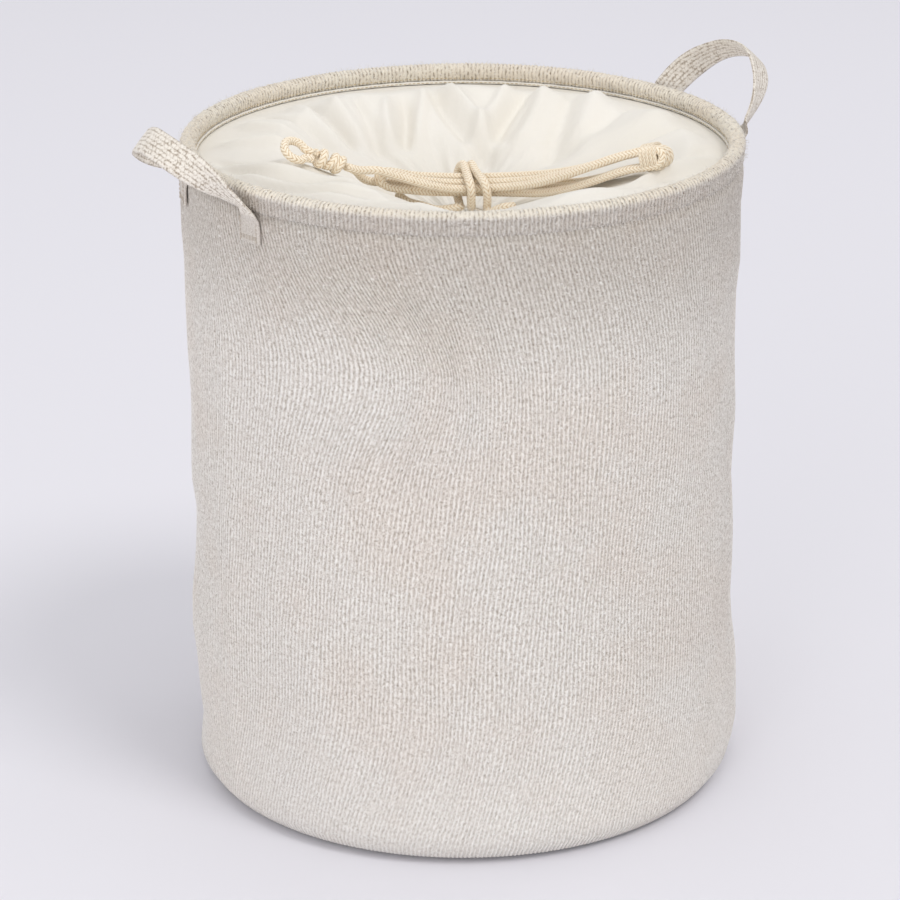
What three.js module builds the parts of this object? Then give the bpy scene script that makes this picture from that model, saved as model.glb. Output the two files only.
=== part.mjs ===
import * as THREE from 'three';

// Laundry hamper: a knitted fabric cylinder that springs up round a spiral wire, with a hooped rim, two webbing
// handles and a cotton cover that a drawstring gathers closed. Millimetres, +Z up. The origin is the middle of the
// underside, and the handles stand on +X and -X.

const degrees = THREE.MathUtils.degToRad;

// Overall
const height = 450;
const wallRadius = 187;
const knitThickness = 1.4;
const liningThickness = 0.8;
const seamGap = 0.3;
const ringSides = 48;

// Rim: the knit wraps a wire hoop, and is sewn to the wall outside and to the cover inside
const rimRollRadius = 5.2;
const rimLegSpacing = 7.4;
const rimOuterDrop = 14;
const rimInnerDrop = 11;
const hoopRadius = 2.2;
const ferruleWall = 0.25;
const ferruleGap = 0.25;
const ferruleLength = 17;
const hoopSides = 6;
const bindingWidth = 2.6;
const bindingHeight = 2.3;
const bindingStep = 0.9;
const stitchThread = 0.7;
const stitchRise = 1.2;

// Wall and pop-up spring
const cornerRadius = 16;
const wallLift = 0.3;
const springWireRadius = 1.25;
const springGap = 1.35;
const springTurns = 4;
const springInset = 22;
const springStepsPerTurn = 36;
const springSides = 5;
const casingWidth = 14;
const casingThickness = 0.6;
const casingGap = 0.85;
const liningGap = 1.1;
const capWall = 0.3;
const capGap = 0.25;
const capLength = 5;
const capSides = 10;
const seamTapeWidth = 12;
const seamTapeThickness = 0.4;

// Base
const boardThickness = 2;
const baseSeamWidth = 6;
const baseSeamThickness = 0.6;
const baseSeamGap = 0.8;
const liningCornerRadius = 17.2;
const bottomHoopGap = 0.6;

// Handles
const strapWidth = 20;
const strapThickness = 2;
const legSpacing = 102;
const loopHeight = 59;
const loopRoundness = 1.12;
const hingeDrop = 12;
const hingeStandoff = 4;
const rightLean = degrees(42);
const leftLean = degrees(48);
const legTwist = degrees(16);
const legTwistLength = 8;
const apexTwistSpan = degrees(62);
const strapSteps = 28;
const tabLength = 27.5;
const tackWidth = 14;
const tackHeight = 2.4;
const tackThickness = 0.6;
const tackInset = 5;

// Cover: sewn under the rim's inner edge, puffed up inside it and gathered at the middle
const coverThickness = 0.8;
const coverDip = 57;
const coverPuff = 7.5;
const crestShares = [
  0.83, 0.81, 0.79, 0.77, 0.76, 0.76, 0.76, 0.76, 0.75, 0.73, 0.71, 0.7,
  0.69, 0.68, 0.68, 0.69, 0.71, 0.82, 0.93, 0.86, 0.79, 0.8, 0.83, 0.84,
];
const coverSamples = 72;
const coverRowShares = [1, 0.98, 0.93, 0.84, 0.7, 0.5, 0.26, 0];
const foldCount = 12;
const foldDepth = 2.4;
const foldWander = 0.9;
const funnelRoundness = 1.05;
const hemRadius = 14;
const hemTubeRadius = 4.6;
const hemThickness = 1.3;
const hemDrop = 2.5;
const hemSides = 24;
const hemSlit = degrees(70);
const channelOpening = degrees(30);

// Drawstring: it lies folded in a hank across the cover, tied at the waist, with a knotted loop at its left end
const cordRadius = 2.75;
const cordGap = 0.6;
const cordSides = 6;
const layingGap = 0.8;
const drawstringTurn = degrees(-26.5);
const hankAxisPoints = [
  [-77, -45], [-50, -36], [-25, -23], [0, -13], [28, -14], [54, -27], [80, -47], [105, -63], [132, -75],
];
const hankTilt = degrees(22);
const hankEndTilt = degrees(-12);
const hankSag = 0.9;
const hankTurns = 3;
const hankEndSpread = 9.5;
const hankFanShare = 0.3;
const hankRunSteps = 9;
const hankBightSteps = 3;
const hankLead = 30;
const hankLeadSpread = 22;
const waistStation = 92;
const waistLength = 46;
const tieTurns = 2;
const tiePitch = 8.2;
const tieReach = 7.3;
const tieStepsPerTurn = 24;
const tieTailPoints = [[-44, -20], [-36, -27], [-26, -30], [-17, -29]];
const tieEndPoints = [[14, -30], [24, -33], [34, -32]];
const knotLength = 22;
const knotRadius = 6.4;
const knotWaistShare = 0.74;
const endLoopRadius = 8;
const endLoopOpening = degrees(64);
const endLoopTilt = degrees(33);
const endLoopSteps = 20;

// Sizes that follow from the ones above
const rimRoll = { r: wallRadius - (rimLegSpacing + knitThickness) / 2, z: height - rimRollRadius };
const rimInside = rimRoll.r - (rimLegSpacing + knitThickness) / 2;
const knitInside = wallRadius - knitThickness;
const outerFoot = height - rimOuterDrop;
const innerFoot = height - rimInnerDrop;
const wallTop = outerFoot - seamGap;
const bindingTop = innerFoot - seamGap;
const bindingFoot = bindingTop - bindingHeight;
const bindingInside = rimInside - bindingStep;
const coverEdge = { r: bindingInside + bindingWidth - seamGap, z: bindingFoot - seamGap };
const springRadius = knitInside - springGap - springWireRadius;
const springFoot = springInset;
const springTop = wallTop - springInset;
const casingOutside = springRadius - springWireRadius - casingGap;
const liningOutside = casingOutside - casingThickness - liningGap;
const liningInside = liningOutside - liningThickness;
const liningTop = coverEdge.z - coverThickness - seamGap;
const wallCorner = { r: wallRadius - cornerRadius, z: cornerRadius + wallLift };
const boardFoot = knitThickness + seamGap;
const liningFoot = boardFoot + boardThickness + seamGap;
const liningCorner = { r: liningInside - liningCornerRadius, z: liningFoot + liningThickness + liningCornerRadius };
const hingeHeight = height - hingeDrop;
const tabReach = wallRadius + seamGap + strapThickness / 2;
const tabAngle = Math.asin(legSpacing / 2 / tabReach);
const hingeReach = tabReach * Math.cos(tabAngle) + hingeStandoff;
const coverInside = hemRadius + hemTubeRadius + seamGap;
const hemHeight = height - coverDip - hemDrop;
const cordPitch = 2 * cordRadius + cordGap;
const up = new THREE.Vector3(0, 0, 1);

// Finishes
const knit = { color: 0xd8d1c8, roughness: 0.95, metalness: 0 };
const cotton = { color: 0xece6da, roughness: 0.85, metalness: 0 };
const webbing = { color: 0xd9cfc0, roughness: 0.9, metalness: 0 };
const rope = { color: 0xdcc9a8, roughness: 0.9, metalness: 0 };
const thread = { color: 0xd9c7a2, roughness: 0.8, metalness: 0 };
const steel = { color: 0x9a9c9e, roughness: 0.35, metalness: 1 };
const tinplate = { color: 0xb9bbbd, roughness: 0.4, metalness: 1 };
const plastic = { color: 0xe8e8e4, roughness: 0.5, metalness: 0 };
const cardboard = { color: 0xb79a72, roughness: 0.9, metalness: 0 };

const hamper = new THREE.Group();

// Turns every face outward, whichever way round the outline was given
function facingOut(geometry) {
  const p = geometry.getAttribute('position');
  const index = geometry.getIndex();
  const corners = [0, 1, 2].map(() => new THREE.Vector3());
  let volume = 0;
  for (let i = 0; i < index.count; i += 3) {
    corners.forEach((corner, j) => corner.fromBufferAttribute(p, index.getX(i + j)));
    volume += corners[0].dot(corners[1].cross(corners[2]));
  }
  for (let i = 0; volume < 0 && i < index.count; i += 3) {
    const second = index.getX(i + 1);
    index.setX(i + 1, index.getX(i + 2));
    index.setX(i + 2, second);
  }
  return geometry;
}

function addPiece(parent, name, geometry, finish) {
  const mesh = new THREE.Mesh(geometry, new THREE.MeshStandardMaterial(finish));
  mesh.name = name;
  parent.add(mesh);
  return mesh;
}

// A ring or disc turned about +Z from an outline of [radius, height] points
function turned(outline, sides = ringSides) {
  const closed = outline[0][0] === 0 ? outline : [...outline, outline[0]];
  const points = closed.map(([r, z]) => new THREE.Vector2(r, z));
  return facingOut(new THREE.LatheGeometry(points, sides).rotateX(Math.PI / 2));
}

function arc(centre, radius, from, to, steps) {
  return Array.from({ length: steps + 1 }, (_, i) => {
    const a = from + ((to - from) * i) / steps;
    return [centre.r + radius * Math.cos(a), centre.z + radius * Math.sin(a)];
  });
}

// One closed skin over a row of sections, each a list of points in the same order
function skinned(sections) {
  const count = sections[0].length;
  const faces = [];
  for (let start = 0; start < (sections.length - 1) * count; start += count) {
    for (let i = 0; i < count; i++) {
      const a = start + i;
      const b = start + ((i + 1) % count);
      faces.push(a, b, b + count, a, b + count, a + count);
    }
  }
  const last = (sections.length - 1) * count;
  for (let i = 1; i + 1 < count; i++) {
    faces.push(0, i + 1, i, last, last + i, last + i + 1);
  }
  const geometry = new THREE.BufferGeometry();
  const positions = sections.flat().flatMap((v) => v.toArray());
  geometry.setAttribute('position', new THREE.Float32BufferAttribute(positions, 3));
  geometry.setIndex(faces);
  return facingOut(geometry);
}

// A round tube whose sections are carried along its route without twisting
function tube(route, radius, sides) {
  let normal = up;
  const sections = route.map((centre, i) => {
    const ahead = route[Math.min(i + 1, route.length - 1)];
    const along = ahead.clone().sub(route[Math.max(i - 1, 0)]).normalize();
    normal = normal.clone().addScaledVector(along, -normal.dot(along)).normalize();
    const side = along.clone().cross(normal);
    return Array.from({ length: sides }, (_, j) => {
      const a = (2 * Math.PI * j) / sides;
      const spoke = normal.clone().multiplyScalar(radius * Math.cos(a));
      return spoke.addScaledVector(side, radius * Math.sin(a)).add(centre);
    });
  });
  return skinned(sections);
}

// Least gap between the turns of a tube, over points spread along its route
function leastGap(route, radius) {
  const pointsPerStep = 5;
  const shares = Array.from({ length: pointsPerStep }, (_, i) => i / pointsPerStep);
  const points = route.slice(1).flatMap((p, i) => shares.map((share) => route[i].clone().lerp(p, share)));
  const travelled = [0];
  points.slice(1).forEach((p, i) => travelled.push(travelled[i] + p.distanceTo(points[i])));
  const nextTurn = 2 * Math.PI * radius;
  let least = Infinity;
  for (let i = 0; i < points.length; i++) {
    for (let j = i + 1; j < points.length; j++) {
      if (travelled[j] - travelled[i] > nextTurn) {
        least = Math.min(least, points[i].distanceTo(points[j]) - 2 * radius);
      }
    }
  }
  return least;
}

// A wound wire or cord, whose length and least gap to itself are printed
function addWinding(parent, name, route, radius, sides, finish) {
  const length = route.slice(1).reduce((sum, p, i) => sum + p.distanceTo(route[i]), 0);
  const gap = leastGap(route, radius);
  console.log(`${name}: ${length.toFixed(0)} mm long, least gap to itself ${gap.toFixed(2)} mm`);
  return addPiece(parent, name, tube(route, radius, sides), finish);
}

function smooth(share) {
  const t = THREE.MathUtils.clamp(share, 0, 1);
  return t * t * (3 - 2 * t);
}

// A wire hoop, whose two ends face each other inside a ferrule
function addHoop(name, ring) {
  const step = (2 * Math.PI) / ringSides;
  const middle = new THREE.Vector3(ring.r * Math.cos(step / 2), 0, ring.z).applyAxisAngle(up, step / 2);
  const along = new THREE.Vector3(-Math.sin(step / 2), Math.cos(step / 2), 0);
  const bends = Array.from({ length: ringSides }, (_, i) => {
    return new THREE.Vector3(ring.r, 0, ring.z).applyAxisAngle(up, step * (i + 1));
  });
  const start = middle.clone().addScaledVector(along, seamGap / 2);
  const end = middle.clone().addScaledVector(along, -seamGap / 2);
  addPiece(hamper, name, tube([start, ...bends, end], hoopRadius, hoopSides), steel);
  const bore = hoopRadius + ferruleGap;
  const half = ferruleLength / 2;
  const outline = [[bore, -half], [bore + ferruleWall, -half], [bore + ferruleWall, half], [bore, half]];
  const ferrule = addPiece(hamper, `${name}_ferrule`, turned(outline, 2 * hoopSides), tinplate);
  ferrule.position.copy(middle);
  ferrule.quaternion.setFromUnitVectors(up, along);
}

function addBase() {
  const panelRadius = wallCorner.r + seamGap;
  const seamMiddle = wallCorner.r - seamGap;
  const seamFoot = knitThickness + baseSeamGap;
  const boardRadius = seamMiddle - baseSeamWidth / 2 - seamGap;
  addPiece(hamper, 'base_panel', turned([[0, 0], [panelRadius, 0], [panelRadius, knitThickness], [0, knitThickness]]),
    knit);
  addPiece(hamper, 'base_seam_binding', turned([
    [seamMiddle - baseSeamWidth / 2, seamFoot], [seamMiddle + baseSeamWidth / 2, seamFoot],
    [seamMiddle + baseSeamWidth / 2, seamFoot + baseSeamThickness],
    [seamMiddle - baseSeamWidth / 2, seamFoot + baseSeamThickness],
  ]), cotton);
  addPiece(hamper, 'base_board', turned([
    [0, boardFoot], [boardRadius, boardFoot], [boardRadius, boardFoot + boardThickness], [0, boardFoot + boardThickness],
  ]), cardboard);
  addPiece(hamper, 'base_lining', turned([
    [0, liningFoot], [liningCorner.r - seamGap, liningFoot], [liningCorner.r - seamGap, liningFoot + liningThickness],
    [0, liningFoot + liningThickness],
  ]), cotton);
  const reach = cornerRadius - knitThickness - bottomHoopGap - hoopRadius - ferruleGap - ferruleWall;
  addHoop('bottom_hoop', { r: wallCorner.r + reach * Math.SQRT1_2, z: wallCorner.z - reach * Math.SQRT1_2 });
}

// The knitted wall turns under at the foot, and its inner lining turns in above the base board
function addWall() {
  const cornerSteps = 4;
  const down = -Math.PI / 2;
  const knitSides = [
    ...arc(wallCorner, cornerRadius, down, 0, cornerSteps), [wallRadius, wallTop], [knitInside, wallTop],
    ...arc(wallCorner, cornerRadius - knitThickness, 0, down, cornerSteps),
  ];
  const lip = wallCorner.r + 2 * seamGap;
  knitSides[0][0] = lip;
  knitSides[knitSides.length - 1][0] = lip;
  addPiece(hamper, 'outer_wall', turned(knitSides), knit);
  addPiece(hamper, 'wall_lining', turned([
    ...arc(liningCorner, liningCornerRadius + liningThickness, down, 0, cornerSteps), [liningOutside, liningTop],
    [liningInside, liningTop], ...arc(liningCorner, liningCornerRadius, 0, down, cornerSteps),
  ]), cotton);
  const facetAngle = Math.PI + Math.PI / ringSides;
  const tapeReach = knitInside * Math.cos(Math.PI / ringSides) - seamGap - seamTapeThickness / 2;
  const tapeHeight = wallTop - cornerRadius - 2 * liningCornerRadius / 2;
  const tape = addPiece(hamper, 'side_seam_tape', new THREE.BoxGeometry(seamTapeThickness, seamTapeWidth, tapeHeight),
    cotton);
  tape.position.set(tapeReach * Math.cos(facetAngle), tapeReach * Math.sin(facetAngle), wallTop - tapeHeight / 2);
  tape.rotation.z = facetAngle;
}

// The spiral wire runs from the foot to the rim inside a fabric casing, with a plastic cap on each end
function addSpring() {
  const steps = springTurns * springStepsPerTurn;
  const stations = Array.from({ length: steps + 1 }, (_, i) => ({
    a: (2 * Math.PI * i) / springStepsPerTurn + Math.PI / 2,
    z: springFoot + ((springTop - springFoot) * i) / steps,
  }));
  const place = ({ a, z }, r, rise = 0) => new THREE.Vector3(r * Math.cos(a), r * Math.sin(a), z + rise);
  const route = stations.map((station) => place(station, springRadius));
  const ends = [[route[0], route[1]], [route[steps], route[steps - 1]]].map(([end, inner]) => {
    const outward = up.clone().cross(end).setZ(0).normalize();
    return { tip: end, outward: outward.multiplyScalar(Math.sign(outward.dot(end.clone().sub(inner)))) };
  });
  const tips = ends.map(({ tip, outward }) => tip.clone().addScaledVector(outward, capLength));
  addWinding(hamper, 'spiral_spring', [tips[0], ...route, tips[1]], springWireRadius, springSides, steel);
  const casingInside = casingOutside - casingThickness;
  addPiece(hamper, 'spring_casing', skinned(stations.map((station) => [
    place(station, casingInside, -casingWidth / 2), place(station, casingOutside, -casingWidth / 2),
    place(station, casingOutside, casingWidth / 2), place(station, casingInside, casingWidth / 2),
  ])), cotton);
  const bore = springWireRadius + capGap;
  const outline = [
    [0, 0], [bore + capWall, 0], [bore + capWall, capLength], [bore, capLength], [bore, capWall], [0, capWall],
  ];
  ['spring_lower_cap', 'spring_upper_cap'].forEach((name, i) => {
    const cap = addPiece(hamper, name, turned(outline, capSides), plastic);
    const along = ends[i].outward.clone().negate();
    cap.position.copy(tips[i]).addScaledVector(along, -capWall - capGap);
    cap.quaternion.setFromUnitVectors(up, along);
  });
}

// The knit wraps the hoop like an upturned U; tape binds its inner edge, under a line of stitches
function addRim() {
  const outside = rimRoll.r + (rimLegSpacing + knitThickness) / 2;
  const slant = Math.acos((outside - rimRoll.r) / rimRollRadius);
  const innerBend = (rimLegSpacing - knitThickness) / 2;
  addPiece(hamper, 'rim_sleeve', turned([
    [outside, outerFoot], ...arc(rimRoll, rimRollRadius, -slant, Math.PI + slant, 8), [rimInside, innerFoot],
    [rimInside + knitThickness, innerFoot], ...arc(rimRoll, innerBend, Math.PI, 0, 6), [knitInside, outerFoot],
  ]), knit);
  addHoop('top_hoop', rimRoll);
  const bevel = bindingWidth / 4;
  addPiece(hamper, 'rim_binding', turned([
    [bindingInside, bindingFoot + bevel], [bindingInside + bevel, bindingFoot],
    [bindingInside + bindingWidth, bindingFoot], [bindingInside + bindingWidth, bindingTop],
    [bindingInside + bevel, bindingTop], [bindingInside, bindingTop - bevel],
  ]), cotton);
  const stitchOutside = rimInside - seamGap;
  const stitchFoot = innerFoot + stitchRise;
  addPiece(hamper, 'rim_stitching', turned([
    [stitchOutside - stitchThread, stitchFoot], [stitchOutside, stitchFoot],
    [stitchOutside, stitchFoot + stitchThread], [stitchOutside - stitchThread, stitchFoot + stitchThread],
  ]), thread);
}

// Radius at which the cover stands highest: far out at the front, where it falls away from the rim
function crestRadius(a) {
  const turn = (a / (2 * Math.PI)) * crestShares.length;
  const read = (i) => crestShares[THREE.MathUtils.euclideanModulo(i, crestShares.length)];
  const from = Math.floor(turn);
  return coverEdge.r * THREE.MathUtils.lerp(read(from), read(from + 1), smooth(turn - from));
}

// Height of the cover's upper face: level at its sewn edge, puffed up inside the rim, folded down to the gather
function coverHeight(r, a) {
  const sewn = coverEdge.r - (coverEdge.r - coverInside) * (1 - coverRowShares[1]);
  const crest = crestRadius(a);
  const puffTop = coverEdge.z + coverPuff;
  if (r >= sewn) return coverEdge.z;
  const rise = smooth((sewn - r) / (sewn - crest));
  const fall = Math.max(0, (crest - r) / (crest - coverInside)) ** funnelRoundness;
  const bowl = coverEdge.z + coverPuff * rise - (puffTop - height + coverDip) * fall;
  const folded = Math.sin((Math.PI * (sewn - r)) / (sewn - coverInside)) ** 0.6;
  return bowl + foldDepth * folded * Math.cos(foldCount * a + foldWander * Math.sin(2 * a));
}

const coverRows = coverRowShares.map((share) => coverInside + (coverEdge.r - coverInside) * share);

// Height of the flat facets that stand for the cover's upper face
function coverTop(x, y) {
  const r = THREE.MathUtils.clamp(Math.hypot(x, y), coverInside, coverEdge.r);
  const step = (2 * Math.PI) / coverSamples;
  const turn = Math.atan2(y, x) / step;
  const row = Math.max(1, coverRows.findIndex((radius) => radius <= r));
  const across = (coverRows[row - 1] - r) / (coverRows[row - 1] - coverRows[row]);
  const around = turn - Math.floor(turn);
  const read = (radius) => THREE.MathUtils.lerp(
    coverHeight(radius, Math.floor(turn) * step), coverHeight(radius, Math.ceil(turn) * step), around);
  return THREE.MathUtils.lerp(read(coverRows[row - 1]), read(coverRows[row]), across);
}

function addCover(parent) {
  const faces = [...coverRows.map((r) => [r, 0]), ...coverRows.toReversed().map((r) => [r, coverThickness])];
  const positions = [];
  const index = [];
  for (let i = 0; i < coverSamples; i++) {
    const a = (2 * Math.PI * i) / coverSamples;
    for (const [r, drop] of faces) {
      positions.push(r * Math.cos(a), r * Math.sin(a), coverHeight(r, a) - drop);
    }
  }
  const count = faces.length;
  for (let i = 0; i < coverSamples; i++) {
    const next = ((i + 1) % coverSamples) * count;
    for (let j = 0; j < count; j++) {
      const [a, b] = [i * count + j, i * count + ((j + 1) % count)];
      const [c, d] = [next + j, next + ((j + 1) % count)];
      index.push(a, b, d, a, d, c);
    }
  }
  const geometry = new THREE.BufferGeometry();
  geometry.setAttribute('position', new THREE.Float32BufferAttribute(positions, 3));
  geometry.setIndex(index);
  addPiece(parent, 'closing_cover', facingOut(geometry), cotton);
}

// The cover's gathered hem is a channel with a slit along its top, and the drawstring runs round inside it
function addHem(parent) {
  const tubeMiddle = { r: hemRadius, z: hemHeight };
  const from = Math.PI / 2 + hemSlit / 2;
  const to = 2.5 * Math.PI - hemSlit / 2;
  addPiece(parent, 'cover_hem', turned([
    ...arc(tubeMiddle, hemTubeRadius, from, to, 6), ...arc(tubeMiddle, hemTubeRadius - hemThickness, to, from, 6),
  ], hemSides), cotton);
  const sweep = 2 * Math.PI - channelOpening;
  const route = Array.from({ length: hemSides + 1 }, (_, i) => {
    const a = channelOpening / 2 + (sweep * i) / hemSides;
    return new THREE.Vector3(hemRadius * Math.cos(a), hemRadius * Math.sin(a), hemHeight);
  });
  addPiece(parent, 'drawstring_channel_run', tube(route, cordRadius, cordSides + 2), rope);
}

const halfLoad = (hankTurns / 2) * cordPitch;

// Half the distance between the upper and lower runs of the hank, drawn in at the waist
function hankRise(station, length) {
  const share = Math.abs(station - waistStation) / Math.max(waistStation, length - waistStation);
  return THREE.MathUtils.lerp(cordPitch, hankEndSpread, smooth(share * 1.6)) / 2;
}

// Between the waist and either end the runs lie loosely, spread wider apart
function hankFan(station, length) {
  const reach = station < waistStation ? waistStation - hankLead : length - waistStation;
  return 1 + hankFanShare * Math.sin(Math.PI * Math.min(1, Math.abs(station - waistStation) / reach)) ** 2;
}

// The hank lies on the cover's far slope at the waist, and the other way over at its ends
function tiltAt(station, length) {
  const reach = station < waistStation ? waistStation : length - waistStation;
  return THREE.MathUtils.lerp(hankTilt, hankEndTilt, smooth(Math.abs(station - waistStation) / reach));
}

// The hank's middle line lies over the cover, high enough for its lower runs and, at the waist, for the tie, and
// spans the hollows between
function hankAxis() {
  const flat = new THREE.CatmullRomCurve3(hankAxisPoints.map(([x, y]) => new THREE.Vector3(x, y, 0)));
  const length = flat.getLength();
  const hemTop = hemHeight + hemTubeRadius;
  const floor = (x, y) => {
    return Math.hypot(x, y) < coverInside + cordRadius ? Math.max(hemTop, coverTop(x, y)) : coverTop(x, y);
  };
  const steps = 12;
  const points = Array.from({ length: steps + 1 }, (_, i) => {
    const p = flat.getPointAt(i / steps);
    const away = up.clone().cross(flat.getTangentAt(i / steps));
    const station = (length * i) / steps;
    const tied = smooth(2 - (2 * Math.abs(station - waistStation)) / waistLength);
    const below = hankRise(station, length) + cordRadius + layingGap + tied * tieReach;
    const seats = [-1, -0.5, 0, 0.5, 1].map((share) => {
      const side = share * (halfLoad * hankFan(station, length) + cordRadius);
      const tilt = tiltAt(station, length);
      const seat = p.clone().addScaledVector(away, side * Math.cos(tilt));
      return floor(seat.x, seat.y) + below - side * Math.sin(tilt);
    });
    return p.setZ(Math.max(...seats));
  });
  for (let pass = 0; pass < steps; pass++) {
    points.slice(1, steps).forEach((p, i) => {
      p.z = Math.max(p.z, (points[i].z + points[i + 2].z) / 2 - hankSag);
    });
  }
  return new THREE.CatmullRomCurve3(points);
}

// A place given along the hank's middle line, to its far side and above it
function hankPlace(axis, station, side, rise) {
  const share = THREE.MathUtils.clamp(station / axis.getLength(), 0, 1);
  const along = axis.getTangentAt(share);
  const upright = up.clone().addScaledVector(along, -up.dot(along)).normalize();
  const tilt = tiltAt(station, axis.getLength());
  const away = upright.clone().cross(along).applyAxisAngle(along, tilt);
  const upward = upright.applyAxisAngle(along, tilt);
  const past = station - share * axis.getLength();
  return axis.getPointAt(share).addScaledVector(along, past).addScaledVector(away, side)
    .addScaledVector(upward, rise);
}

// Both ends of the cord leave the knot side by side and spread to the hank's width before its left bights
function leadRoute(axis, direction) {
  const length = axis.getLength();
  const straight = 2 * cordRadius;
  return [0, 1, 1.75, 2.5, 3.25, 4].map((step) => {
    const station = step <= 1 ? step * straight : straight + ((hankLeadSpread - straight) * (step - 1)) / 3;
    const spread = smooth((station - straight) / (hankLeadSpread - straight));
    const side = THREE.MathUtils.lerp(cordPitch / 2, halfLoad, spread);
    return hankPlace(axis, station, direction * side, -direction * spread * hankRise(station, length));
  });
}

function hankRoute(axis) {
  const length = axis.getLength();
  const bight = hankEndSpread / 2;
  const right = length - bight;
  const route = leadRoute(axis, -1);
  for (let turn = 0; turn < hankTurns; turn++) {
    const side = turn * cordPitch - halfLoad;
    for (let i = 0; i <= hankRunSteps; i++) {
      const station = THREE.MathUtils.lerp(hankLead, right, i / hankRunSteps);
      route.push(hankPlace(axis, station, side * hankFan(station, length), hankRise(station, length)));
    }
    for (let i = 1; i < hankBightSteps; i++) {
      const a = (Math.PI * i) / hankBightSteps;
      route.push(hankPlace(axis, right + bight * Math.sin(a), side, bight * Math.cos(a)));
    }
    for (let i = 0; i <= hankRunSteps; i++) {
      const station = THREE.MathUtils.lerp(right, hankLead, i / hankRunSteps);
      const climbed = (side + (cordPitch * i) / hankRunSteps) * hankFan(station, length);
      route.push(hankPlace(axis, station, climbed, -hankRise(station, length)));
    }
    for (let i = 1; i < hankBightSteps && turn + 1 < hankTurns; i++) {
      const a = (Math.PI * i) / hankBightSteps;
      const left = hankLead - hankRise(hankLead, length) * Math.sin(a);
      route.push(hankPlace(axis, left, side + cordPitch, -hankRise(hankLead, length) * Math.cos(a)));
    }
  }
  return [...route, ...leadRoute(axis, 1).toReversed()];
}

// The tie comes in over the cover, wraps the waist close round the runs, and leaves over the cover
function tieRoute(axis) {
  const length = axis.getLength();
  const lying = ([x, y]) => new THREE.Vector3(x, y, coverTop(x, y) + cordRadius + 2 * layingGap);
  const from = -Math.PI * 0.72;
  const steps = tieTurns * tieStepsPerTurn;
  const wraps = Array.from({ length: steps + 1 }, (_, i) => {
    const a = from + (2 * Math.PI * i) / tieStepsPerTurn;
    const squared = (v) => THREE.MathUtils.clamp(3 * v, -1, 1);
    const side = halfLoad * squared(Math.cos(a)) + tieReach * Math.cos(a);
    const rise = hankRise(waistStation, length) * squared(Math.sin(a)) + tieReach * Math.sin(a);
    return hankPlace(axis, waistStation + (i / steps - 0.5) * tieTurns * tiePitch, side, rise);
  });
  return [...tieTailPoints.map(lying), ...wraps, ...tieEndPoints.map(lying)];
}

// Two lumps of the knot, then the loop beyond it
function addEndKnot(parent, axis) {
  const lump = knotLength / 2;
  const waist = knotRadius * knotWaistShare;
  const start = hankPlace(axis, -seamGap, 0, 0);
  const outward = axis.getTangentAt(0).negate();
  const knot = addPiece(parent, 'drawstring_end_knot', turned([
    [0, 0], [knotRadius * 0.95, 0], [knotRadius, lump * 0.3], [knotRadius * 0.95, lump * 0.7], [waist, lump],
    [knotRadius * 0.95, lump * 1.3], [knotRadius, lump * 1.6], [knotRadius * 0.9, lump * 2], [0, lump * 2],
  ], 12), rope);
  knot.position.copy(start);
  knot.quaternion.setFromUnitVectors(up, outward);
  const foot = start.clone().addScaledVector(outward, knotLength + seamGap);
  const away = outward.clone().cross(up).normalize().applyAxisAngle(outward, -endLoopTilt);
  const middle = foot.clone().addScaledVector(outward, 2 * cordRadius + endLoopRadius);
  const half = endLoopOpening / 2;
  const round = Array.from({ length: endLoopSteps + 1 }, (_, i) => {
    const a = Math.PI + half + ((2 * Math.PI - endLoopOpening) * i) / endLoopSteps;
    return middle.clone().addScaledVector(outward, endLoopRadius * Math.cos(a))
      .addScaledVector(away, endLoopRadius * Math.sin(a));
  });
  const legSide = cordPitch / 2;
  const leg = (sign) => [0, 1].map((step) => foot.clone().addScaledVector(outward, step * cordRadius)
    .addScaledVector(away, sign * legSide));
  addWinding(parent, 'drawstring_end_loop', [...leg(-1), ...round, ...leg(1).toReversed()], cordRadius, cordSides,
    rope);
}

function addDrawstring(parent) {
  const axis = hankAxis();
  addWinding(parent, 'drawstring_hank', hankRoute(axis), cordRadius, cordSides, rope);
  addWinding(parent, 'drawstring_tie', tieRoute(axis), cordRadius, cordSides, rope);
  addEndKnot(parent, axis);
}

// Half a turn of webbing from leg to leg: flat to the wall at its feet, edge-on to it at the top
function strapLoop(lean) {
  const across = new THREE.Vector3(0, 1, 0);
  const outward = new THREE.Vector3(Math.sin(lean), 0, Math.cos(lean));
  const square = across.clone().cross(outward);
  const rounded = (v) => Math.sign(v) * Math.abs(v) ** loopRoundness;
  const place = (a) => across.clone().multiplyScalar((legSpacing / 2) * rounded(Math.cos(a)))
    .addScaledVector(outward, loopHeight * rounded(Math.sin(a)));
  const sections = Array.from({ length: strapSteps + 1 }, (_, i) => {
    const a = (Math.PI * i) / strapSteps;
    const step = Math.PI / strapSteps / 4;
    const along = place(Math.min(a + step, Math.PI)).sub(place(Math.max(a - step, 0))).normalize();
    const widening = along.clone().cross(square).normalize();
    const fromFoot = Math.min(a, Math.PI - a);
    const centre = place(a);
    const legShare = smooth(centre.dot(outward) / legTwistLength);
    const twist = legTwist * legShare + (Math.PI / 2 - legTwist) * smooth(fromFoot / apexTwistSpan);
    const wide = widening.multiplyScalar(Math.cos(twist)).addScaledVector(square, -Math.sin(twist));
    const thick = along.clone().cross(wide);
    return [[-1, -1], [1, -1], [1, 1], [-1, 1]].map(([u, v]) => centre.clone()
      .addScaledVector(wide, (u * strapWidth) / 2).addScaledVector(thick, (v * strapThickness) / 2));
  });
  return skinned(sections);
}

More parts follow.
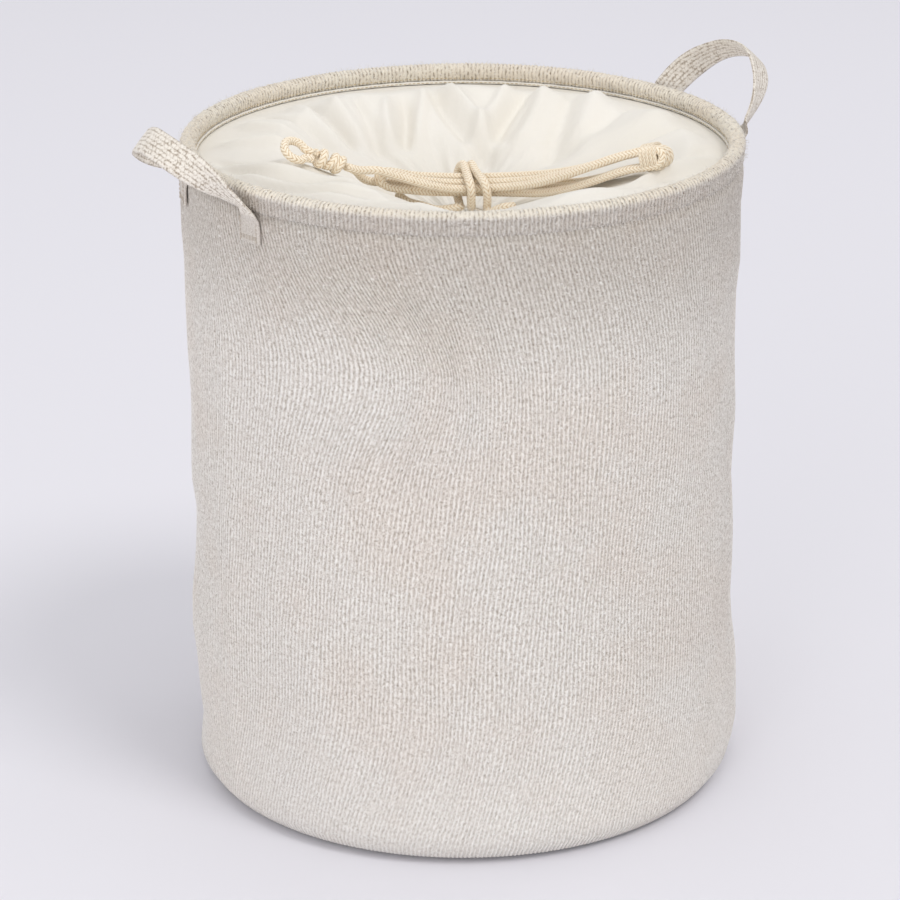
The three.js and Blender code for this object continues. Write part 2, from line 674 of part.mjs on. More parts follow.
// One handle: its loop, two ends sewn flat to the wall below the rim, and a bar of stitches across each end
function addHandle(side, turn, lean) {
  const handle = new THREE.Group();
  handle.rotation.z = turn;
  hamper.add(handle);
  addPiece(handle, `${side}_handle`, strapLoop(lean), webbing).position.set(hingeReach, 0, hingeHeight);
  const tabTop = hingeHeight - strapThickness / 2 - seamGap;
  for (const [end, sign] of [['front', -1], ['rear', 1]]) {
    const seat = new THREE.Group();
    seat.rotation.z = sign * tabAngle;
    handle.add(seat);
    const tab = addPiece(seat, `${side}_handle_${end}_tab`,
      new THREE.BoxGeometry(strapThickness, strapWidth, tabLength), webbing);
    tab.position.set(tabReach, 0, tabTop - tabLength / 2);
    const tack = addPiece(seat, `${side}_handle_${end}_tack`,
      new THREE.BoxGeometry(tackThickness, tackWidth, tackHeight), thread);
    const tackReach = tabReach + strapThickness / 2 + seamGap + tackThickness / 2;
    tack.position.set(tackReach, 0, tabTop - tabLength + tackInset);
  }
}

addBase();
addWall();
addSpring();
addRim();
const gathered = new THREE.Group();
gathered.rotation.z = drawstringTurn;
hamper.add(gathered);
addCover(gathered);
addHem(gathered);
addDrawstring(gathered);
addHandle('right', 0, rightLean);
addHandle('left', Math.PI, leftLean);

export default hamper;
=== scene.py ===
"""Pop-up laundry hamper: ribbed knit wall on a spiral wire, hooped rim, webbing handles and a drawstring cover.

Metres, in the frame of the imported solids: +Z up, the handles on +X and -X. The photograph looks from 26.5 degrees
to one side, so places read from it are turned by VIEW_TURN.
"""
import math

import bpy
import numpy as np
from mathutils import Matrix, Vector


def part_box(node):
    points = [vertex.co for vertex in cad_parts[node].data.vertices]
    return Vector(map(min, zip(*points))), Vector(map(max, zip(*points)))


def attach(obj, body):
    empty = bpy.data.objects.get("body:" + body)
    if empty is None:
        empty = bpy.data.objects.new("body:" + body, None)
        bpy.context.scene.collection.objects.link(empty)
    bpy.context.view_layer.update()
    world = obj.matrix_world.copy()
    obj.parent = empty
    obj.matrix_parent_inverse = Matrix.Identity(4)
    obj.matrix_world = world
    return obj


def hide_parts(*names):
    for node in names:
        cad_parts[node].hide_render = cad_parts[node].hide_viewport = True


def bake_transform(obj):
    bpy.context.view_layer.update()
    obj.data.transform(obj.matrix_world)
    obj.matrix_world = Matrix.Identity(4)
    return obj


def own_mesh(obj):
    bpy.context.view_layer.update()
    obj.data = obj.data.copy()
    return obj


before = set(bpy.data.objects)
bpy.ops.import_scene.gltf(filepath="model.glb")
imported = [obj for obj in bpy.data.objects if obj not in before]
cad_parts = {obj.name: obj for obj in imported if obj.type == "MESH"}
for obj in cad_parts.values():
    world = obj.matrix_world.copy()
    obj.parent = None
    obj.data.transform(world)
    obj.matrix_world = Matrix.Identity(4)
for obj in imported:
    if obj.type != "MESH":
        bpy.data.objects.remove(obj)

bl_info = {
    "name": "Pop-up laundry hamper",
    "version": (1, 0, 0),
    "blender": (4, 5, 0),
    "location": "3D View > Sidebar > Hamper",
    "description": "Dresses the hamper's solids in knit, cotton, webbing and cord",
    "category": "Object",
}

MM = 0.001
VIEW_TURN = math.radians(-26.5)
UP = (0, 0, 1)

# The camera, as solved from the photograph: its place in millimetres as the photograph faces the hamper
CAMERA_PLACE = Vector((-9.1, -2220, 1064))
CAMERA_PITCH = math.radians(20.73)
CAMERA_ROLL = math.radians(-0.219)
FOCAL_LENGTH = 3448
PHOTO_WIDTH = 900
SENSOR_WIDTH = 36.0
VIEW_LIMIT = 50

# Lamps: name, place as the photograph faces the hamper, width and power
LAMPS = (
    ("top_light", (0, 0.2, 3.0), 2.0, 9.2), ("back_light", (-0.4, 2.2, 2.4), 1.6, 2.8),
    ("right_light", (1.8, 1.6, 2.0), 1.4, 5.2), ("left_light", (-1.9, -2.2, 1.2), 1.6, 5.8),
    ("front_light", (-0.7, -2.3, 0.75), 1.0, 13.5),
)
# The key lamp, a soft sun, and the even light of the room
KEY_TURN = math.radians(316)
KEY_RISE = math.radians(58)
KEY_SPREAD = math.radians(20)
KEY_POWER = 0.8
KEY_COLOUR = (1.0, 0.985, 0.965)
SKY_COLOUR = (0.99, 0.99, 1.01, 1)
SKY_POWER = 0.64
LAMP_AIM = Vector((0, 0, 0.25))
FLOOR_REACH = 14.0
FLOOR_DROP = 0.6 * MM

# Sizes of the solids, in millimetres
WALL_RADIUS = 187.0
WALL_CORNER = 16.0
WALL_LIFT = 0.3
WALL_TOP = 435.7
WALL_LENGTH = WALL_CORNER * math.pi / 2 + WALL_TOP - (WALL_CORNER + WALL_LIFT)
KNIT_THICKNESS = 1.4
ROLL_MIDDLE = (182.6, 444.8)
ROLL_RADIUS = 5.2
ROLL_HALF_WIDTH = 4.4
ROLL_SLANT = math.acos(ROLL_HALF_WIDTH / ROLL_RADIUS)
ROLL_BEND = 2 * ROLL_SLANT + math.pi
ROLL_LEG = 7.6
ROLL_INNER_LEG = 3.03
RIM_LENGTH = ROLL_LEG + ROLL_BEND * ROLL_RADIUS + ROLL_INNER_LEG
RIM_TOP = 450.0
COVER_EDGE = (179.6, 436.1)
COVER_INSIDE = 18.9
COVER_PUFF = 7.5
COVER_DIP = 57.0
COVER_SEWN = COVER_EDGE[0] - (COVER_EDGE[0] - COVER_INSIDE) * 0.02
HEM_MIDDLE = (14.0, 390.5)
HEM_RADIUS = 4.6
HEM_THICKNESS = 1.2
HEM_HALF_SLIT = 35
COTTON_THICKNESS = 0.8
# Where the cover stands highest all round, in shares of its edge's radius
CREST_SHARES = (
    0.83, 0.81, 0.79, 0.77, 0.76, 0.76, 0.76, 0.76, 0.75, 0.73, 0.71, 0.7,
    0.69, 0.68, 0.68, 0.69, 0.71, 0.82, 0.93, 0.86, 0.79, 0.8, 0.83, 0.84,
)
HINGE_REACH = 185.26
HINGE_HEIGHT = 438.0
TAB_REACH = 188.3
TAB_TURN = math.radians(15.7)
STRAP_WIDTH = 20.0
STRAP_THICKNESS = 2.0
SPRING_RADIUS = 183.0
SPRING_FOOT = 22
SPRING_TOP = 413.7
SPRING_TURNS = 4
SPRING_START = math.pi / 2
WIRE_RADIUS = 1.25
CASING_SECTION = ((180.3, -7), (180.3, 0), (180.3, 7), (180.9, 7), (181.0, 3), (181.0, -3), (180.9, -7))
LINING_CORNER = (161.2, 22.0)
LINING_OUTER_BEND = 18.0
LINING_INNER_BEND = 17.2
LINING_FROM = 40
LINING_TO = 435
LINING_SLACK = 0.35
SLACK_FROM = 20
SLACK_WAVES = 14
SLACK_SLANT = 33
# Outlines of the rings and discs: radius and height
DISC_MIDDLE = 0.001
PANEL_OUTLINE = (
    (DISC_MIDDLE, 0.0), (60, 0.0), (120, 0.0), (169.5, 0.0), (171.3, 0.5), (171.3, 1.0), (170.6, 1.4), (120, 1.4),
    (60, 1.4), (DISC_MIDDLE, 1.4),
)
BINDING_OUTLINE = (
    (177.3, 437.1), (177.5, 436.6), (178.1, 436.4), (179.9, 436.4), (179.9, 438.7), (178.1, 438.7),
    (177.5, 438.5), (177.3, 438.0),
)
RIM_STITCH_LINES = ((177.55, 440.6), (177.2, 437.55))
SEAM_TAPE_WIDTH = 6
SEAM_TAPE_THICKNESS = 0.6
SIDE_TAPE_HALF_WIDTH = 6
SIDE_TAPE_HALF_THICKNESS = 0.2
SIDE_TAPE_SWAY = 0.25

# Handles as they lie: half the span between their ends, their height, how high up the loop's legs the webbing has
# turned, where the loop has turned flat, how hollow the webbing is and how far that lifts it, how many metres of
# it lie between the middle and the sewn part, how far each height of that part stands off the wall, over which
# heights it turns into the loop, and the stitches on it
STRAP_SPAN = 51
STRAP_ARCH = 55
STRAP_LEG = 8
STRAP_TWIST_END = math.radians(62)
STRAP_CUP = 0.35
STRAP_SEAT = 0.2
SEWN_FROM = 0.0885
SEWN_LIFTS = ((414.5, 0), (419, 0), (424, 0), (429, 0.1), (433, 1.0), (435.8, 2.5))
SEWN_TURN_FROM = 424
SEWN_TURN_OVER = 14
TACK_REACH = 189.55
TACK_HEIGHTS = (417.2, 418.2, 419.2)
TACK_HALF_WIDTH = 7
SIDE_STITCH_OFFSET = 7.6
SIDE_STITCH_FROM = 416
SIDE_STITCH_TO = 430
TACK_SPACING = 2.4 * MM
TACK_STITCH = 2.2 * MM
TACK_THREAD = 0.7 * MM
# The two handles: side, turn round the rim, lean outward and turn of the webbing in the legs, in degrees, then how
# skew, bowed and pointed the loop is
HANDLES = (("right", 1.4, 42, 40, 2.0, 0.0, 0.98), ("left", 181.8, 48, 4, 0.0, -5.0, 1.12))

# The knit: ribs all round, faces across each, how deep its shape sinks into the cloth, rows of faces round the rim,
# how much higher and lumpier the ribs are there, what the lumps are drawn from, and the turn of the side seam
RIB_COUNT = 410
RIB_PITCH = 2 * math.pi * WALL_RADIUS / RIB_COUNT * MM
RIB_FACES = 4
RIB_SINK = 0.62
RIM_ROWS = 20
RIM_RIB_GROWTH = 1.6
RIM_LUMPS = 0.4
LUMP_SEED = 5
SEAM_TURN = math.radians(185)

# The photograph's two outlines of the wall: azimuth and spread, then how the wall stands out there from a true
# cylinder, as height and depth
LEFT_OUTLINE = (184, 26)
RIGHT_OUTLINE = (355, 24)
LEFT_PROFILE = (
    (33, -2.7), (57, -0.6), (80, 0.1), (103, 2.2), (125, 1.5), (148, -1.2), (170, -2.6), (193, -3.2), (215, -0.5),
    (237, -1.1), (259, -1.8), (280, -1.7), (302, -0.4), (345, 0.4), (366, 0.4), (387, 1.7), (408, 1.7), (430, 0.4),
)
RIGHT_PROFILE = (
    (33, 4.2), (56, 3.8), (79, 3.2), (102, 0.2), (125, -1.4), (147, -0.6), (170, -0.5), (192, -1.7), (214, -3.4),
    (236, -2.8), (258, -1.4), (279, -1.9), (301, -2.5), (344, -2.2), (365, -0.2), (386, -0.6), (407, -1.2), (430, 0),
)
# Soft dents: depth, azimuth and its spread in degrees, height and its spread
WALL_DENTS = (
    (-2.6, 257, 9, 262, 34), (1.6, 246, 8, 300, 40), (-2.4, 226, 8, 96, 42), (1.2, 238, 9, 140, 40),
    (-1.4, 290, 14, 180, 60), (1.1, 312, 12, 330, 70), (-1.2, 275, 10, 60, 30), (1.0, 265, 12, 400, 25),
    (-1.6, 70, 16, 250, 70), (1.2, 110, 14, 150, 60), (-1.3, 30, 12, 330, 50), (-1.2, 150, 14, 120, 60),
)
# Sharp creases at the left: depth, azimuth and its spread
WALL_CREASES = ((1.2, 213, 3.2), (-0.9, 206, 4), (-1.1, 210, 0.8))
# Broad ripples: depth, waves round the hamper, height that shifts them by a radian, and start
WALL_RIPPLES = ((0.5, 3, 61, 0), (0.45, 5, -47, 1.3), (0.25, 9, 29, 0.4))
RIB_RIPPLES = ((1.0, 7, 37, 0), (0.4, 23, 17, 0), (0.3, 41, -12, 1))
RIM_RIPPLES = ((0.35, 5, math.inf, 0.8), (0.25, 13, math.inf, 0))
# How much of the rim's ripples goes outward and upward
RIPPLE_OUT = 0.25
RIPPLE_UP = 0.3
# Where the wall stays flat, so that nothing cuts through it when it folds: behind the straps and over the cap
STRAP_AZIMUTHS = (12.2, 43.6, 192.6, 224.0)
CAP_AZIMUTH = 116.5
STRAP_RECESS = 0.7
RECESS_FROM = 235
# The seam below the rim: how far it draws in the wall and the rim's knit, and over which heights
SEAM_DRAWN_IN = 1.3
SEAM_FROM = 435.0
SEAM_OVER = 1.2
RIM_SEAM_DEPTH = 1.1
RIM_SEAM_WIDTH = 1.3
# Between which heights the wall waves and the ribs drift, and over how much they fade there
WAVES_FROM = 5
WAVES_TO = 432
WAVES_FADE_LOW = 28
WAVES_FADE_HIGH = 30
DRIFT_TO = 436
DRIFT_FADE = 60
# How deep a dent is before it presses what lies inside the wall
INSIDE_GAP = 0.4
# How far the ribs have leaned sideways at each height, all round, in millimetres
RIB_LEAN = (
    (0, 0), (16, 2), (43, 9.5), (70, 16.5), (98, 21.5), (126, 23.1), (153, 23.9), (181, 25.6), (209, 28.4),
    (237, 31.0), (264, 32.4), (291, 33.4), (319, 34.2), (347, 33.2), (374, 28.6), (402, 22.6), (430, 16), (441, 14),
)
# Where they are dragged further: distance, azimuth and spread, height and spread
RIB_DRIFTS = ((25, 234, 24, 343, 58), (-5, 318, 10, 215, 40), (6, 120, 20, 260, 70), (-7, 40, 22, 200, 60))
# How strong the cover's folds are, how they sway, run on past their ends and fade there and towards the seam
FOLD_STRENGTH = 1.8
FOLD_SWAY = 2.5
FOLD_OVERRUN = 8
FOLD_FADE = 26
FOLDS_WITHIN = 178
EDGE_FADE = 24
# Even waves under the folds, as in the solid: how many, how deep, and how far they wander
COVER_WAVES = 12
COVER_WAVE_DEPTH = 2.4
COVER_WAVE_WANDER = 0.9
# How round the cover falls to the gather, how deep its pleats are, and from which share of the way they start
COVER_FALL_ROUNDNESS = 1.05
GATHER_DEPTH = 0.7
GATHER_FROM = 0.45
# Pleats round the gather: how many, how far they wander and in how many waves, then the finer ones' height, count
# and start
COVER_PLEATS = (31, 1.7, 3, 0.7, 47, 2.1)
HEM_PLEATS = (19, 1.1, 2, 0.5, 33, 0.7)
HEM_PLEAT_DEPTH = 0.07
# The folds, seen from above as the photograph faces them: height, width, and the two ends' x and y
COVER_FOLDS = (
    (-4.2, 5, -43, 128, -37, 62), (3.4, 5, -54, 122, -46, 66), (2.8, 5, -30, 140, -27, 70),
    (-3.8, 5, -22, 146, 12, 58), (4.2, 6, -8, 140, 24, 62), (-3.8, 5, 46, 140, 14, 56),
    (3.4, 6, 32, 146, 6, 64), (3.2, 7, 62, 140, 34, 62), (-3.4, 7, 76, 136, 62, 42),
    (3.4, 9, 96, 124, 80, 46), (-2.0, 7, 126, 112, 66, 36), (2.0, 12, 146, 76, 104, 30),
    (-2.0, 6, 164, 48, 98, 14), (2.0, 8, 160, 22, 110, 2), (-3.0, 5, -76, 120, -56, 50),
    (3.2, 6, -90, 112, -66, 50), (-3.2, 5, -108, 112, -72, 40), (2.8, 6, -124, 100, -80, 38),
    (-2.8, 5, -140, 84, -86, 24), (2.6, 6, -154, 62, -96, 18), (-2.8, 5, -160, 30, -96, 4),
    (2.4, 6, -166, 8, -104, -8), (-2.9, 3.5, -166, -20, -66, -92), (2.2, 4, -160, -36, -60, -108),
    (-2.6, 3.5, -156, -52, -50, -120), (2.0, 4, -148, -66, -44, -134), (-2.0, 3, -138, -86, -30, -142),
    (1.5, 4, -120, -112, -10, -152), (-1.4, 4, 30, -150, 120, -118), (1.5, 5, 60, -152, 140, -98),
    (-2.0, 4, 90, -112, 156, -60), (1.8, 5, 104, -96, 164, -30), (-2.0, 5, 116, -70, 168, -8),
)
# The cord: how far apart its plaits lie, their columns round it, how far they slant, its size, and which shares of
# its radius are the core and the plaits' height
BRAID_PITCH = 2.5 * MM
PLAIT_COLUMNS = 3
PLAIT_SLANT = 1.1
CORD_RADIUS = 2.75 * MM
CORD_CORE = 0.9
PLAIT_HEIGHT = 0.16
# The knot's turns run from start to end, and swell and crowd together twice on the way; the whipping goes round the
# middle of the hank's right necks
KNOT_START = np.array((-89.3, -5.9, 439.6)) * MM
KNOT_END = np.array((-109.3, -2.7, 448.0)) * MM
KNOT_TURNS = 3.1
KNOT_START_TURN = 0.6
KNOT_REACH = 3.9
KNOT_SWELL = 0.45
KNOT_INSET = 1.2 * MM
KNOT_CUT_BACK = 1.0 * MM
KNOT_BUNCHING = 0.05
KNOT_STEP = 0.8 * MM
KNOT_CORD_RADIUS = 2.85 * MM
WHIPPING_MIDDLE = np.array((77.2, -120.3, 453.1))
WHIPPING_AXIS = np.array((0.64, -0.717, 0.28))
WHIPPING_SIDE = np.array((11.0, 7.2, -1.9))
WHIPPING_TURNS = 4.3
WHIPPING_START_TURN = 2.2
WHIPPING_ROUNDNESS = 0.75
WHIPPING_LENGTH = 10.4
WHIPPING_HALF_WIDTH = 10.2
WHIPPING_HALF_HEIGHT = 8.1
WHIPPING_CORD_RADIUS = 1.25 * MM

# The cord's routes, as in the solids
DRAWSTRING_HANK = (
    (-0.0892, -0.0089, 0.4401), (-0.0843, -0.0097, 0.4379), (-0.0803, -0.0113, 0.4371),
    (-0.0761, -0.0138, 0.4372), (-0.0719, -0.0163, 0.4373), (-0.0678, -0.0177, 0.4364),
    (-0.0603, -0.0185, 0.4331), (-0.0382, -0.0215, 0.4244), (-0.0174, -0.0207, 0.4184),
    (0.0012, -0.0249, 0.4173), (0.0158, -0.0371, 0.4195), (0.0258, -0.0543, 0.4249), (0.0347, -0.0726, 0.4330),
    (0.0454, -0.0912, 0.4429), (0.0589, -0.1090, 0.4529), (0.0747, -0.1267, 0.4598), (0.0772, -0.1303, 0.4585),
    (0.0772, -0.1318, 0.4540), (0.0745, -0.1295, 0.4508), (0.0604, -0.1122, 0.4441), (0.0484, -0.0941, 0.4342),
    (0.0390, -0.0738, 0.4246), (0.0310, -0.0533, 0.4178), (0.0205, -0.0337, 0.4141), (0.0040, -0.0195, 0.4131),
    (-0.0172, -0.0134, 0.4143), (-0.0399, -0.0137, 0.4183), (-0.0628, -0.0128, 0.4246),
    (-0.0657, -0.0126, 0.4279), (-0.0643, -0.0123, 0.4320), (-0.0601, -0.0125, 0.4328),
    (-0.0383, -0.0140, 0.4255), (-0.0166, -0.0141, 0.4208), (0.0037, -0.0198, 0.4196),
    (0.0204, -0.0326, 0.4216), (0.0321, -0.0504, 0.4264), (0.0419, -0.0691, 0.4336), (0.0520, -0.0877, 0.4426),
    (0.0644, -0.1054, 0.4519), (0.0794, -0.1230, 0.4586), (0.0819, -0.1266, 0.4573), (0.0819, -0.1281, 0.4528),
    (0.0792, -0.1258, 0.4495), (0.0659, -0.1086, 0.4431), (0.0550, -0.0905, 0.4339), (0.0461, -0.0703, 0.4252),
    (0.0373, -0.0493, 0.4194), (0.0251, -0.0293, 0.4162), (0.0065, -0.0144, 0.4154),
    (-0.0164, -0.0068, 0.4166), (-0.0399, -0.0062, 0.4194), (-0.0626, -0.0068, 0.4243),
    (-0.0654, -0.0065, 0.4274), (-0.0640, -0.0062, 0.4315), (-0.0599, -0.0064, 0.4324),
    (-0.0384, -0.0064, 0.4267), (-0.0158, -0.0075, 0.4231), (0.0063, -0.0147, 0.4219),
    (0.0250, -0.0282, 0.4237), (0.0384, -0.0464, 0.4280), (0.0490, -0.0657, 0.4343), (0.0586, -0.0841, 0.4422),
    (0.0699, -0.1018, 0.4510), (0.0840, -0.1192, 0.4574), (0.0866, -0.1230, 0.4560), (0.0866, -0.1245, 0.4515),
    (0.0839, -0.1221, 0.4483), (0.0714, -0.1051, 0.4421), (0.0615, -0.0869, 0.4335), (0.0532, -0.0669, 0.4258),
    (0.0436, -0.0454, 0.4209), (0.0297, -0.0249, 0.4183), (0.0091, -0.0093, 0.4177),
    (-0.0156, -0.0002, 0.4189), (-0.0400, 0.0014, 0.4206), (-0.0624, -0.0007, 0.4239),
    (-0.0700, -0.0004, 0.4259), (-0.0736, -0.0009, 0.4279), (-0.0769, -0.0023, 0.4310),
    (-0.0802, -0.0036, 0.4344), (-0.0837, -0.0038, 0.4368), (-0.0888, -0.0029, 0.4389),
)
DRAWSTRING_TIE = (
    (-0.0483, 0.0017, 0.4135), (-0.0443, -0.0081, 0.4098), (-0.0367, -0.0152, 0.4079), (-0.0282, -0.0184, 0.4050),
    (-0.0119, -0.0202, 0.4052), (-0.0112, -0.0185, 0.4048), (-0.0092, -0.0126, 0.4066), (-0.0066, -0.0045, 0.4098),
    (-0.0041, 0.0028, 0.4133), (-0.0033, 0.0039, 0.4147), (-0.0025, 0.0045, 0.4164), (-0.0019, 0.0047, 0.4183),
    (-0.0016, 0.0039, 0.4216), (-0.0014, 0.0022, 0.4246), (-0.0014, 0.0003, 0.4269), (-0.0014, -0.0013, 0.4279),
    (-0.0015, -0.0030, 0.4286), (-0.0017, -0.0050, 0.4290), (-0.0033, -0.0109, 0.4273), (-0.0057, -0.0190, 0.4251),
    (-0.0079, -0.0263, 0.4226), (-0.0081, -0.0276, 0.4213), (-0.0082, -0.0284, 0.4196), (-0.0081, -0.0288, 0.4177),
    (-0.0077, -0.0281, 0.4144), (-0.0071, -0.0267, 0.4104), (-0.0062, -0.0250, 0.4068), (-0.0055, -0.0237, 0.4055),
    (-0.0046, -0.0222, 0.4047), (-0.0037, -0.0205, 0.4044), (-0.0011, -0.0149, 0.4062), (0.0023, -0.0072, 0.4096),
    (0.0056, -0.0003, 0.4131), (0.0062, 0.0008, 0.4145), (0.0067, 0.0016, 0.4163), (0.0068, 0.0018, 0.4181),
    (0.0065, 0.0012, 0.4214), (0.0057, -0.0001, 0.4244), (0.0049, -0.0018, 0.4267), (0.0045, -0.0032, 0.4277),
    (0.0041, -0.0049, 0.4285), (0.0037, -0.0068, 0.4288), (0.0025, -0.0130, 0.4271), (0.0014, -0.0219, 0.4249),
    (0.0008, -0.0300, 0.4226), (0.0009, -0.0316, 0.4212), (0.0010, -0.0325, 0.4195), (0.0013, -0.0330, 0.4176),
    (0.0019, -0.0325, 0.4143), (0.0026, -0.0312, 0.4103), (0.0034, -0.0294, 0.4067), (0.0040, -0.0281, 0.4055),
    (0.0047, -0.0265, 0.4047), (0.0022, -0.0347, 0.4032), (0.0095, -0.0415, 0.4076), (0.0174, -0.0445, 0.4080),
)
DRAWSTRING_END_LOOP = (
    (-0.1106, -0.0051, 0.4466), (-0.1132, -0.0047, 0.4476), (-0.1172, -0.0050, 0.4485),
    (-0.1189, -0.0061, 0.4482), (-0.1208, -0.0068, 0.4483), (-0.1228, -0.0071, 0.4486),
    (-0.1248, -0.0070, 0.4493), (-0.1265, -0.0065, 0.4502), (-0.1280, -0.0055, 0.4514),
    (-0.1290, -0.0043, 0.4526), (-0.1296, -0.0028, 0.4539), (-0.1297, -0.0012, 0.4552),
    (-0.1292, 0.0005, 0.4563), (-0.1283, 0.0021, 0.4573), (-0.1270, 0.0035, 0.4579), (-0.1253, 0.0046, 0.4583),
    (-0.1234, 0.0054, 0.4583), (-0.1214, 0.0058, 0.4580), (-0.1194, 0.0057, 0.4574), (-0.1176, 0.0052, 0.4565),
    (-0.1161, 0.0044, 0.4554), (-0.1150, 0.0032, 0.4541), (-0.1143, 0.0017, 0.4528), (-0.1111, 0.0002, 0.4507),
    (-0.1086, -0.0002, 0.4496),
)
DRAWSTRING_CHANNEL_RUN = (
    (0.0137, -0.0028, 0.3905), (0.0140, 0.0005, 0.3905), (0.0135, 0.0039, 0.3905), (0.0122, 0.0069, 0.3905),
    (0.0102, 0.0096, 0.3905), (0.0076, 0.0118, 0.3905), (0.0046, 0.0132, 0.3905), (0.0013, 0.0139, 0.3905),
    (-0.0021, 0.0138, 0.3905), (-0.0053, 0.0130, 0.3905), (-0.0082, 0.0113, 0.3905), (-0.0107, 0.0090, 0.3905),
    (-0.0125, 0.0062, 0.3905), (-0.0137, 0.0031, 0.3905), (-0.0140, -0.0002, 0.3905),
    (-0.0135, -0.0036, 0.3905), (-0.0123, -0.0067, 0.3905), (-0.0104, -0.0094, 0.3905),
    (-0.0078, -0.0116, 0.3905), (-0.0048, -0.0131, 0.3905), (-0.0016, -0.0139, 0.3905),
    (0.0018, -0.0139, 0.3905), (0.0050, -0.0131, 0.3905), (0.0080, -0.0115, 0.3905), (0.0105, -0.0093, 0.3905),
)

# --- Node graphs ---


class Value:
    """An output socket; arithmetic on it adds Math nodes to its graph."""

    def __init__(self, graph, socket):
        self.graph = graph
        self.socket = socket

    def math(self, operation, *others):
        return self.graph.node("ShaderNodeMath", {"operation": operation}, dict(enumerate((self, *others))))

    def __add__(self, other):
        return self.math("ADD", other)

    def __sub__(self, other):
        return self.math("SUBTRACT", other)

    def __rsub__(self, other):
        return self.graph.node("ShaderNodeMath", {"operation": "SUBTRACT"}, {0: other, 1: self})

    def __mul__(self, other):
        return self.math("MULTIPLY", other)

    def __truediv__(self, other):
        return self.math("DIVIDE", other)

    def __pow__(self, other):
        return self.math("POWER", other)

    def __abs__(self):
        return self.math("ABSOLUTE")

    def sin(self):
        return self.math("SINE")

    def cos(self):
        return self.math("COSINE")

    def larger(self, other):
        return self.math("MAXIMUM", other)

    def ramp(self, low, high):
        """0 below low, 1 above high, smooth between them."""
        settings = {"interpolation_type": "SMOOTHSTEP"}
        return self.graph.node("ShaderNodeMapRange", settings, {"Value": self, "From Min": low, "From Max": high})


class Graph:
    """Adds nodes to a shader or geometry tree."""

    def __init__(self, tree):
        self.tree = tree

    def node(self, kind, settings=None, values=None, output=0):
        """One node: its settings first, then values or links for its sockets; gives back the output asked for."""
        made = self.tree.nodes.new(kind)
        for name, setting in (settings or {}).items():
            if name == "stops":
                self.set_stops(made.color_ramp, setting)
            else:
                setattr(made, name, setting)
        for name, value in (values or {}).items():
            self.feed(made.inputs[name], value)
        return Value(self, made.outputs[output])

    def feed(self, socket, value):
        if isinstance(value, Value):
            self.tree.links.new(value.socket, socket)
        else:
            socket.default_value = value

    @staticmethod
    def set_stops(ramp, stops):
        while len(ramp.elements) > len(stops):
            ramp.elements.remove(ramp.elements[-1])
        while len(ramp.elements) < len(stops):
            ramp.elements.new(1.0)
        for element, (place, colour) in zip(ramp.elements, stops):
            element.position = place
            element.color = colour

    def mix(self, share, first, second, blend="MIX"):
        """A colour between two, or blended from them."""
        made = self.tree.nodes.new("ShaderNodeMix")
        made.data_type = "RGBA"
        made.blend_type = blend
        for name, value in (("Factor_Float", share), ("A_Color", first), ("B_Color", second)):
            self.feed(next(s for s in made.inputs if s.identifier == name), value)
        return Value(self, next(s for s in made.outputs if s.identifier == "Result_Color"))

    def noise(self, place, scale, detail=2.0, roughness=0.5, distortion=0.0):
        values = {"Vector": place, "Scale": scale, "Detail": detail, "Roughness": roughness,
                  "Distortion": distortion}
        return self.node("ShaderNodeTexNoise", {"noise_dimensions": "3D"}, values)

    def stretched(self, place, scale, turn=(0, 0, 0)):
        return self.node("ShaderNodeMapping", {"vector_type": "POINT"},
                         {"Vector": place, "Scale": scale, "Rotation": turn})

    def vector(self, **parts):
        return self.node("ShaderNodeCombineXYZ", values=parts)

    def parts(self, place):
        made = self.node("ShaderNodeSeparateXYZ", values={0: place})
        return [Value(self, socket) for socket in made.socket.node.outputs]


class Finish(Graph):
    """A material whose Principled shader takes its colour, roughness and bump from the graph."""

    def __init__(self, name, **sockets):
        self.material = bpy.data.materials.new(name)
        self.material.use_nodes = True
        super().__init__(self.material.node_tree)
        self.surface = self.tree.nodes["Principled BSDF"]
        for socket, value in sockets.items():
            self.surface.inputs[socket.replace("_", " ")].default_value = value

    def place(self):
        return self.node("ShaderNodeTexCoord", output="Object")

    def laid(self):
        """The piece's own UV map, in metres across and along it."""
        return self.node("ShaderNodeUVMap", {"uv_map": "Laid"})

    def grain(self, across, along, detail=2.0, roughness=0.5):
        """Noise over the piece's own UV map, with its scale across and along it."""
        return self.noise(self.stretched(self.laid(), (across, along, 1)), 1.0, detail, roughness)

    def stepped(self, share, *stops):
        """A colour picked by share from stops of place and colour."""
        return self.node("ShaderNodeValToRGB", {"stops": stops}, {"Fac": share})

    def paint(self, colour, roughness=None):
        self.feed(self.surface.inputs["Base Color"], colour)
        if roughness is not None:
            self.feed(self.surface.inputs["Roughness"], roughness)

    def raise_by(self, height, distance, strength=1.0):
        normal = self.node("ShaderNodeBump", values={"Height": height, "Distance": distance, "Strength": strength},
                           output="Normal")
        self.feed(self.surface.inputs["Normal"], normal)


def shade_of(hex_colour, alpha=1.0):
    """A colour given as sRGB hex, in the linear values that nodes take."""
    channels = [int(hex_colour[i:i + 2], 16) / 255 for i in (0, 2, 4)]
    return (*[c / 12.92 if c <= 0.04045 else ((c + 0.055) / 1.055) ** 2.4 for c in channels], alpha)


# --- Finishes ---


